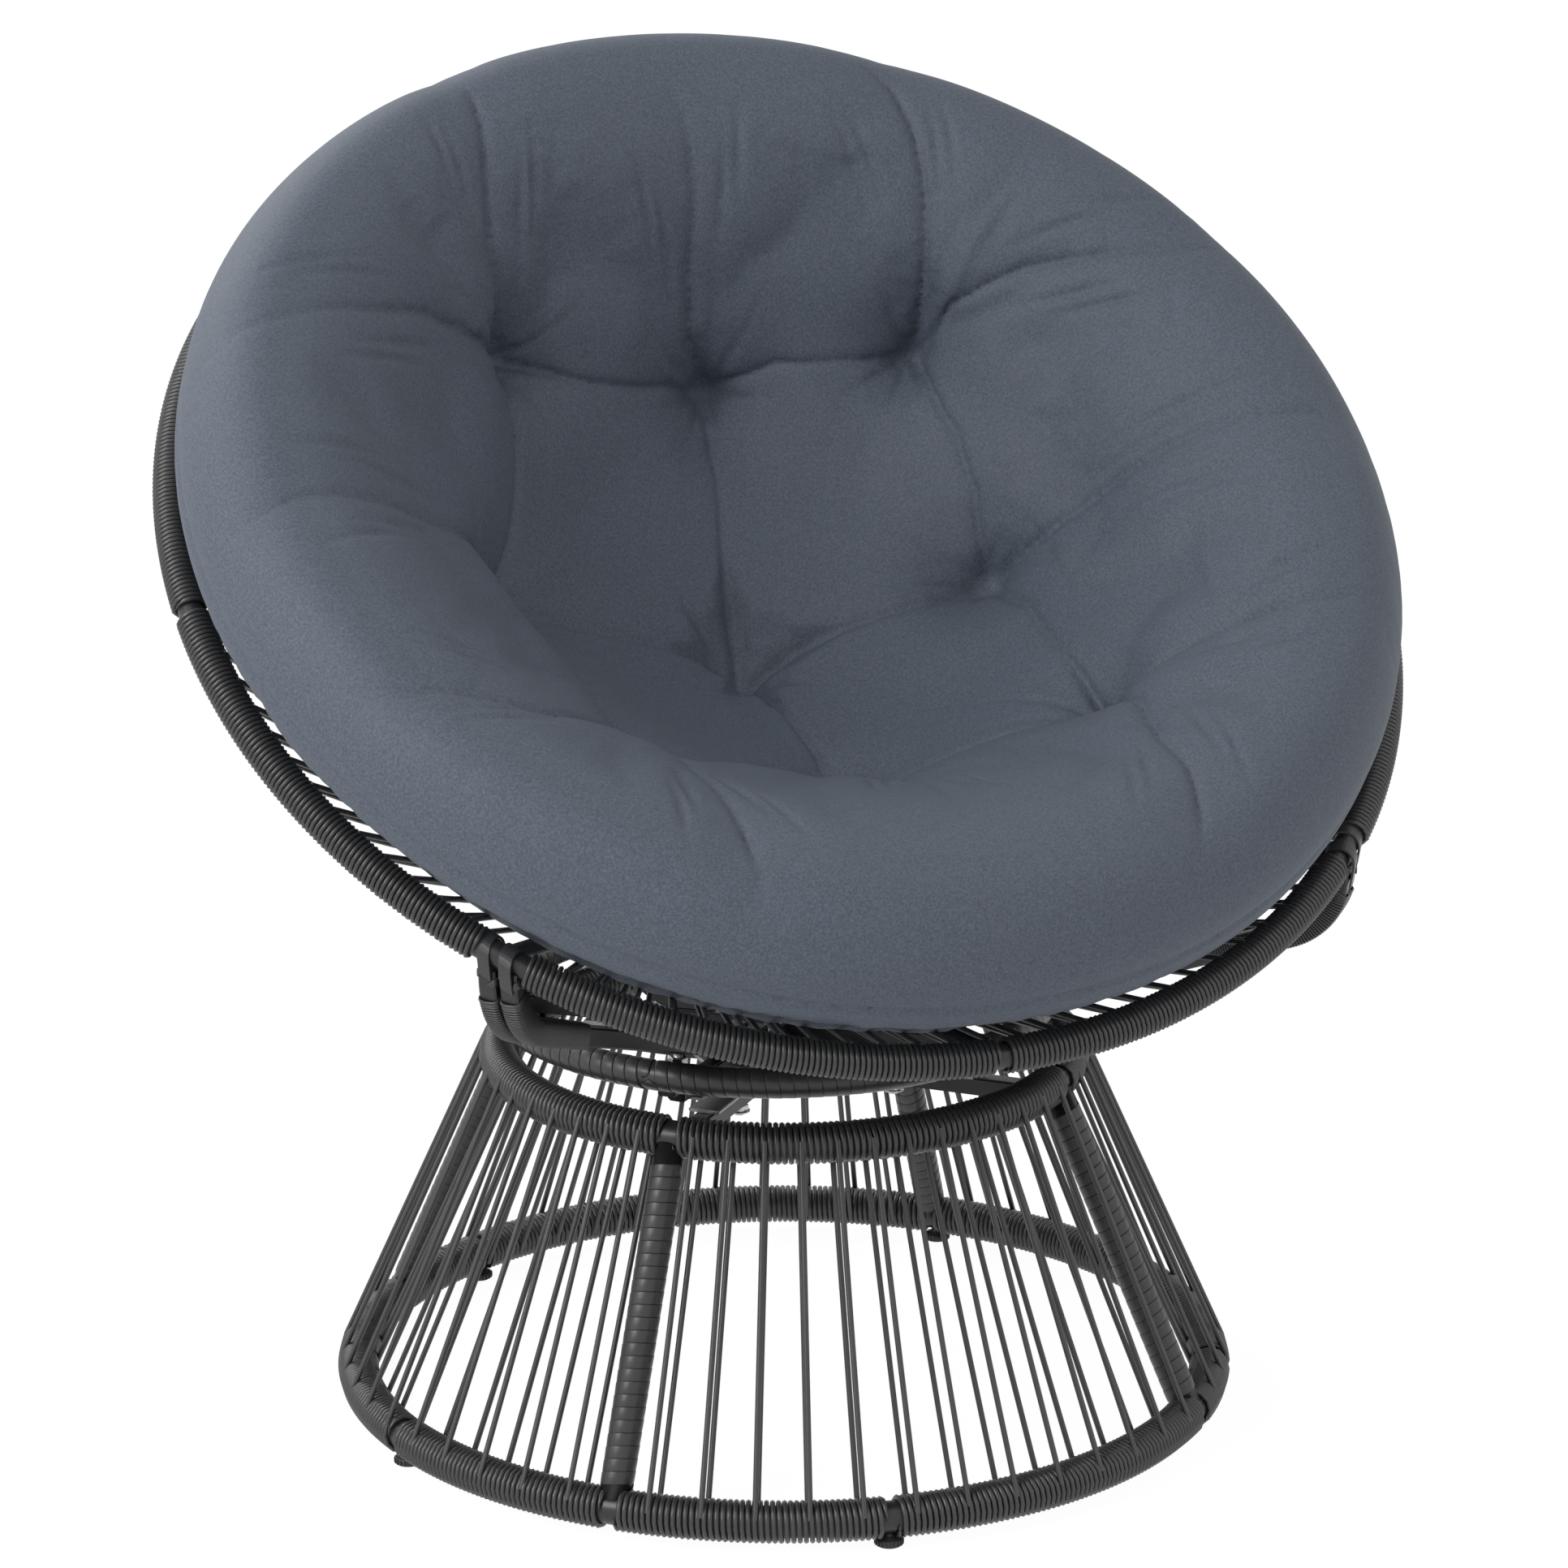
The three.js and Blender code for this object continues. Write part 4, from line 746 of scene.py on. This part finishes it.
# Folds as letters of the tufts at their ends, the depth there and the places between, each (x, y, depth)
FOLDS = [
    ("A", 20, [(-168, 232, 17), (-180, 260, 15), (-179, 302, 13), (-177, 347, 10), (-180, 372, 6), (-186, 391, 1)]),
    ("B", 17, [(2, 244, 12), (-3, 278, 9), (-1, 310, 7), (-5, 340, 4), (-12, 375, 1)]),
    ("C", 20, [(173, 230, 16), (177, 266, 14), (176, 309, 12), (171, 348, 9), (156, 377, 2)]),
    ("C", 15, [(194, 198, 11), (238, 190, 9), (287, 172, 7), (337, 155, 6), (387, 151, 1)]),
    ("D", 16, [(213, 20, 12), (252, 13, 10), (298, 3, 8), (348, -12, 6), (399, -24, 5), (420, -46, 1)]),
    ("F", 17, [(206, -185, 12), (250, -190, 10), (295, -193, 8), (339, -207, 5), (387, -211, 1)]),
    ("F", 12, [(186, -225, 9), (165, -290, 9), (164, -336, 10), (154, -390, 9), (143, -435, 1)]),
    ("G", 9, [(12, -214, 7), (9, -270, 5), (-10, -336, 1)]),
    ("H", 10, [(-180, -222, 6), (-182, -289, 8), (-192, -361, 10), (-200, -417, 1)]),
    ("H", 12, [(-237, -190, 9), (-288, -212, 7), (-330, -210, 6), (-396, -208, 4), (-443, -198, 1)]),
    ("I", 12, [(-250, 30, 9), (-309, 12, 8), (-372, -7, 7), (-440, -19, 5), (-485, -31, 1)]),
    ("A", 14, [(-216, 203, 11), (-254, 198, 9), (-321, 175, 6), (-384, 160, 4), (-441, 149, 1)]),
    ("AB", 14, [(-110, 213, 9), (-71, 216, 8), (-17, 219, 10)]),
    ("BC", 14, [(37, 219, 10), (70, 224, 7), (117, 213, 6), (148, 201, 9)]),
    ("CD", 13, [(180, 170, 9), (196, 130, 7), (200, 83, 7), (192, 48, 9)]),
    ("DF", 13, [(202, -37, 9), (198, -105, 7)]),
    ("FG", 12, [(130, -182, 8), (70, -182, 7)]),
    ("GH", 12, [(-40, -165, 8), (-110, -165, 8)]),
    ("HI", 12, [(-200, -80, 8)]),
    ("IA", 12, [(-186, 114, 8)]),
    ("EB", 14, [(0, 59, 10), (7, 125, 8), (13, 165, 8)]),
    ("ED", 14, [(43, 10, 9), (97, 14, 8), (152, 15, 9)]),
    ("EG", 13, [(4, -60, 9), (4, -110, 9)]),
    ("EI", 13, [(-32, 5, 9), (-75, 14, 8), (-140, 18, 8)]),
]
TUFT_PLACES = 0.001 * np.array(list(TUFTS.values()))
PLEATS, BUTTON_DEPTH, DEEPEST = 7, 0.004, 0.009
CREASE_SHARE, CREASE_LIMIT, CREASE_WIDTH = 0.7, 0.0075, 0.0035
SEAM_HEIGHT, SEAM_DEPTH, SEAM_WIDTH = 0.080, 0.0045, 0.0034


def cushion_profile(count):
    """Points (radius, height) from the middle of the dish, over the rolled edge and down the lining of the bowl."""
    slope = (RIM_RADIUS - BOTTOM_RADIUS) / BOWL_DEPTH
    lining = [(RIM_RADIUS - d * slope - 0.020, -d) for d in (0.024, 0.063, 0.119, 0.18, 0.227, 0.253)]
    points = np.array(DISH + lining + [(0, -0.262)])
    lengths = np.r_[0, np.cumsum(np.linalg.norm(np.diff(points, axis=0), axis=1))]
    smooth = []
    for place in np.linspace(0, lengths[-1], count):
        k = min(max(np.searchsorted(lengths, place) - 1, 0), len(points) - 2)
        share = (place - lengths[k]) / (lengths[k + 1] - lengths[k])
        a, b, c, d = (points[min(max(j, 0), len(points) - 1)] for j in (k - 1, k, k + 1, k + 2))
        smooth.append(0.5 * (2 * b + (c - a) * share + (2 * a - 5 * b + 4 * c - d) * share ** 2
                             + (3 * b - a - 3 * c + d) * share ** 3))
    smooth = np.array(smooth)
    smooth[0, 0] = smooth[-1, 0] = 0
    return np.maximum(smooth, [0, -1])


def plain_cushion():
    """The cushion without its tufts: a closed turned shape whose rolled edge sits a little to the front."""
    profile = cushion_profile(150)
    segments = 300
    rings = profile[1:-1]
    turns = 2 * np.pi * np.arange(segments) / segments
    grid = np.stack([np.outer(np.sin(turns), rings[:, 0]), np.outer(-np.cos(turns), rings[:, 0]),
                     np.tile(rings[:, 1], (segments, 1))], 2)
    fill = np.exp(-((rings[:, 0] - FILL_RADIUS) / FILL_WIDTH) ** 2) * (np.arange(len(rings)) < np.argmax(rings[:, 0]))
    grid[:, :, 2] += FRONT_FILL * np.outer(0.5 + 0.5 * np.cos(turns - FILL_AZIMUTH), fill)
    places = np.vstack([[0, 0, profile[0, 1]], grid.reshape(-1, 3), [0, 0, profile[-1, 1]]])
    lifted = np.clip((places[:, 2] + 0.01) / 0.09, 0, 1)
    places[:, :2] += (lifted ** 2 * (3 - 2 * lifted))[:, None] * np.array(ROLL_SHIFT)
    count, last, faces = len(rings), len(places) - 1, []
    for i in range(segments):
        a, b = 1 + i * count, 1 + (i + 1) % segments * count
        faces += [(0, a, b), (last, b + count - 1, a + count - 1)]
        faces += [(a + k, a + k + 1, b + k + 1, b + k) for k in range(count - 1)]
    return smooth_mesh(places, faces)


def vectors(items, field):
    values = np.zeros(len(items) * 3, np.float32)
    items.foreach_get(field, values)
    return values.reshape(-1, 3).astype(float)


def surface_of(mesh):
    """The places and normals of a mesh's vertices."""
    return vectors(mesh.vertices, "co"), vectors(mesh.vertex_normals, "vector")


def baked(mesh, kind, **settings):
    """The mesh with one modifier applied."""
    obj = new_object("source", mesh)
    modifier = obj.modifiers.new("Shape", kind)
    for key, value in settings.items():
        setattr(modifier, key, value)
    result = bpy.data.meshes.new_from_object(obj.evaluated_get(bpy.context.evaluated_depsgraph_get()))
    bpy.data.objects.remove(obj)
    bpy.data.meshes.remove(mesh)
    return result


def fold_lines():
    """The folds as arrays of (x, y, depth) in metres, with their tufts at the ends."""
    lines = []
    for ends, depth, middle in FOLDS:
        start, *end = [(*TUFTS[end], depth) for end in ends]
        lines.append(0.001 * np.array([start, *middle, *end]))
    return lines


def pleats():
    """Short folds that fan out from each tuft, between the long ones."""
    lines = []
    for k, place in enumerate(TUFT_PLACES):
        for i in range(PLEATS):
            turn = 2.4 * k + 2 * math.pi * (i + 0.3 * math.sin(5.1 * i + k)) / PLEATS
            reach = 0.045 + 0.022 * math.sin(7.3 * i + 2.1 * k)
            aim = np.array((math.cos(turn), math.sin(turn)))
            lines.append(np.array([(*(place + 0.008 * aim), 0.0028), (*(place + reach * aim), 0.0005)]))
    return lines


def wrinkles():
    """Fine folds on both sides of each one that runs out over the rolled edge, where the cover gathers."""
    lines = []
    for k, line in enumerate(fold_lines()):
        if len(FOLDS[k][0]) > 1:
            continue
        start, run = line[1, :2], line[-1, :2] - line[1, :2]
        aside = np.array((-run[1], run[0])) / np.linalg.norm(run)
        for side, gap in ((-1, 0.012), (1, 0.012), (-1, 0.024), (1, 0.024)):
            first = 0.12 + 8 * gap + 0.08 * math.sin(3.7 * k + 90 * gap * side)
            points = [(*(start + run * place + aside * side * (gap + 0.03 * place)), depth)
                      for place, depth in ((first, 0.0005), (first + 0.2, 0.0034), (first + 0.42, 0.0005))]
            lines.append(np.array(points))
    return lines


def samples_on(tree, lines, step=0.002):
    """Points every few millimetres on the lines, dropped on the plain cushion, with the lines' depth there."""
    samples = []
    for line in lines:
        lengths = np.r_[0, np.cumsum(np.linalg.norm(np.diff(line[:, :2], axis=0), axis=1))]
        for place in np.linspace(0, lengths[-1], max(2, int(lengths[-1] / step) + 1)):
            x, y, depth = (np.interp(place, lengths, column) for column in line.T)
            samples.append((*tree.ray_cast(Vector((x, y, 0.5)), Vector((0, 0, -1)))[0], depth))
    return np.array(samples)


def button_samples(tree, depth):
    return samples_on(tree, [np.array([(*place, depth)] * 2) for place in TUFT_PLACES])


def reached(points, samples, reach):
    """Which points lie within reach of a sample, and for those the distance to the nearest one and its depth."""
    tree = KDTree(len(samples))
    for i, sample in enumerate(samples):
        tree.insert(sample[:3], i)
    tree.balance()
    found = [tree.find(point)[1:] for point in points]
    index, distance = (np.array(column) for column in zip(*found))
    close = distance < reach
    return close, distance[close], samples[index[close], 3]


def strongest(points, samples, width):
    """For each point, the greatest of the samples' depths, each fading with distance over a width."""
    best = np.zeros(len(points))
    for start in range(0, len(points), 1000):
        part = points[start:start + 1000]
        apart = (part ** 2).sum(1)[:, None] + (samples[:, :3] ** 2).sum(1) - 2 * part @ samples[:, :3].T
        best[start:start + 1000] = (samples[:, 3] * np.exp(-np.maximum(apart, 0) / width ** 2)).max(1)
    return best


def moved(mesh, points):
    mesh.vertices.foreach_set("co", points.astype(np.float32).ravel())
    mesh.update()


def drawn_in(mesh, tree):
    """Draws the tufts and the valleys of the folds into the top. Returns how firmly each point is sewn down."""
    points, normals = surface_of(mesh)
    mesh.attributes.new("flat", "FLOAT_VECTOR", "POINT").data.foreach_set("vector", points.astype(np.float32).ravel())
    creases, buttons = samples_on(tree, fold_lines(), 0.006), button_samples(tree, 1)
    drop = FOLD_SHARE * strongest(points, creases, VALLEY_WIDTH)
    drop += TUFT_DEPTH * (0.7 * strongest(points, buttons, TUFT_WIDTH) + 0.3 * strongest(points, buttons, 0.016))
    radius = np.hypot(points[:, 0], points[:, 1])
    upper = np.clip((points[:, 2] + 0.155 - radius * 0.1) / 0.05, 0, 1)
    facing = np.clip(normals[:, 2] + 0.6, 0, 1)
    inner = np.clip((0.43 - radius) / 0.10, 0, 1)
    points += normals * ((PAD_LIFT * inner - ROLL_ALLOWANCE * (1 - inner) - drop) * upper * facing)[:, None]
    moved(mesh, points)
    firm = np.clip(45 * strongest(points, creases, 0.007), 0, 0.75)
    firm = np.maximum(firm, strongest(points, buttons, 0.012) > 0.37)
    return np.maximum(firm, 1 - np.clip((upper * (normals[:, 2] + 0.75) - 0.05) * 4, 0, 1)), inner


def settled(mesh, firm, inner):
    """Blows the cover out as cloth between the places where it is sewn down."""
    rest = vectors(mesh.vertices, "co")
    obj = new_object("source", mesh)
    group = obj.vertex_groups.new(name="sewn")
    for level in range(1, 21):
        chosen = np.flatnonzero(np.round(firm * 20) == level)
        group.add(chosen.tolist(), level / 20, "REPLACE")
    cloth = obj.modifiers.new("Cloth", "CLOTH")
    cloth.point_cache.frame_start, cloth.point_cache.frame_end = 1, CLOTH_FRAMES
    settings = cloth.settings
    for key, value in {"quality": 5, "mass": 0.25, "tension_stiffness": 12, "compression_stiffness": 12,
                       "shear_stiffness": 5, "bending_stiffness": 0.15, "shrink_min": -0.05,
                       "vertex_group_mass": "sewn", "use_pressure": True, "uniform_pressure_force": 4}.items():
        setattr(settings, key, value)
    settings.effector_weights.gravity = 0
    cloth.collision_settings.use_collision = False
    for frame_number in range(1, CLOTH_FRAMES + 1):
        bpy.context.scene.frame_set(frame_number)
    result = bpy.data.meshes.new_from_object(obj.evaluated_get(bpy.context.evaluated_depsgraph_get()))
    bpy.data.objects.remove(obj)
    bpy.context.scene.frame_set(1)
    shift = vectors(result.vertices, "co") - rest
    length = np.linalg.norm(shift, axis=1, keepdims=True)
    limit = (ROLL_LIMIT + (PAD_LIMIT - ROLL_LIMIT) * inner)[:, None]
    moved(result, rest + shift * np.minimum(1, limit / np.maximum(length, 1e-9)))
    return result


def sewn(mesh, tree):
    """Cuts the sharp lines of the folds, the pleats round the tufts and the seam of the boxing."""
    points, normals = surface_of(mesh)
    flat = vectors(mesh.attributes["flat"].data, "vector")
    creases, fine = samples_on(tree, fold_lines()), samples_on(tree, pleats() + wrinkles())
    creases[:, 3] = np.minimum(creases[:, 3] * CREASE_SHARE, CREASE_LIMIT)
    drop = np.zeros(len(points))
    for samples, reach, shape in ((creases, 0.016, lambda d: np.exp(-d / CREASE_WIDTH)),
                                  (fine, 0.010, lambda d: np.exp(-(d / 0.004) ** 2)),
                                  (button_samples(tree, BUTTON_DEPTH), 0.020, lambda d: np.exp(-(d / 0.008) ** 2))):
        close, distance, depth = reached(flat, samples, reach)
        drop[close] += depth * shape(distance)
    outside = (np.hypot(flat[:, 0], flat[:, 1]) > 0.42) & (normals[:, 2] < 0.6)
    drop += SEAM_DEPTH * np.exp(-np.abs(flat[:, 2] - SEAM_HEIGHT) / SEAM_WIDTH) * outside
    moved(mesh, points - normals * np.minimum(drop, DEEPEST)[:, None])
    mesh.polygons.foreach_set("use_smooth", [True] * len(mesh.polygons))
    return mesh


def tufted_cushion():
    mesh = baked(plain_cushion(), "REMESH", mode="VOXEL", voxel_size=0.0065)
    tree = BVHTree.FromPolygons([v.co for v in mesh.vertices], [tuple(p.vertices) for p in mesh.polygons])
    firm, inner = drawn_in(mesh, tree)
    mesh = settled(mesh, firm, inner)
    return sewn(baked(mesh, "SUBSURF", levels=1, render_levels=1), tree)


cushion = piece("cushion_pad", [(tufted_cushion(), BOWL)], "seat", "cloth", "cushion")


# Floor, light and camera
def seen_directly(tree):
    """1 for rays from the camera and off gloss, which see a white background."""
    rays = new_node(tree, "ShaderNodeLightPath").outputs
    return maths(tree, "MAXIMUM", rays["Is Camera Ray"], rays["Is Glossy Ray"])


FLOOR_WHITE, WORLD_LIGHT = 0.93, 0.62
floor_material, floor_nodes, floor_shader, _ = new_material("Pale floor")
floor_shader.inputs["Base Color"].default_value = (0.86, 0.86, 0.86, 1)
floor_shader.inputs["Roughness"].default_value = 1
floor_shader.inputs["Specular IOR Level"].default_value = 0
share = maths(floor_nodes, "MULTIPLY", seen_directly(floor_nodes), FLOOR_WHITE)
glow = new_node(floor_nodes, "ShaderNodeEmission", {"Color": (1, 1, 1, 1), "Strength": 1.04})
mix = new_node(floor_nodes, "ShaderNodeMixShader", {0: share, 1: floor_shader.outputs[0], 2: glow.outputs[0]})
floor_nodes.links.new(mix.outputs[0], next(n for n in floor_nodes.nodes if n.type == "OUTPUT_MATERIAL").inputs[0])
floor = bpy.data.meshes.new("floor")
floor.from_pydata([(-30, -30, 0), (30, -30, 0), (30, 30, 0), (-30, 30, 0)], [], [(0, 1, 2, 3)])
floor.materials.append(floor_material)
new_object("floor", floor)

world = bpy.data.worlds.new("Studio")
bpy.context.scene.world = world
world.use_nodes = True
background = world.node_tree.nodes["Background"]
strength = maths(world.node_tree, "MULTIPLY_ADD", seen_directly(world.node_tree), 1 - WORLD_LIGHT, WORLD_LIGHT)
world.node_tree.links.new(strength, background.inputs["Strength"])
background.inputs["Color"].default_value = (1, 1, 1, 1)


def soft_light(name, place, size, power, target=(0, 0, 0.55)):
    lamp = bpy.data.lights.new(name, "AREA")
    lamp.shape = "DISK"
    lamp.size = size
    lamp.energy = power
    obj = new_object(name, lamp)
    obj.location = place
    obj.rotation_mode = "QUATERNION"
    obj.rotation_quaternion = (Vector(target) - Vector(place)).to_track_quat("-Z", "Y")


soft_light("key", (-3.2, -0.8, 2.5), 2.0, 85)
soft_light("fill", (2.6, -2.6, 1.8), 2.4, 10)
soft_light("back", (-1.2, 2.8, 2.8), 2.0, 42)

camera = new_object("camera", bpy.data.cameras.new("camera"))
camera.data.lens = 123.9
camera.data.sensor_width = 36
camera.location = (-1.62419, AXIS_Y - 3.82635, 1.68475)
camera.rotation_mode = "QUATERNION"
camera.rotation_quaternion = (Vector((0, AXIS_Y, 0.5085)) - camera.location).to_track_quat("-Z", "Y")
bpy.context.scene.camera = camera
bpy.context.scene.view_settings.view_transform = "Standard"
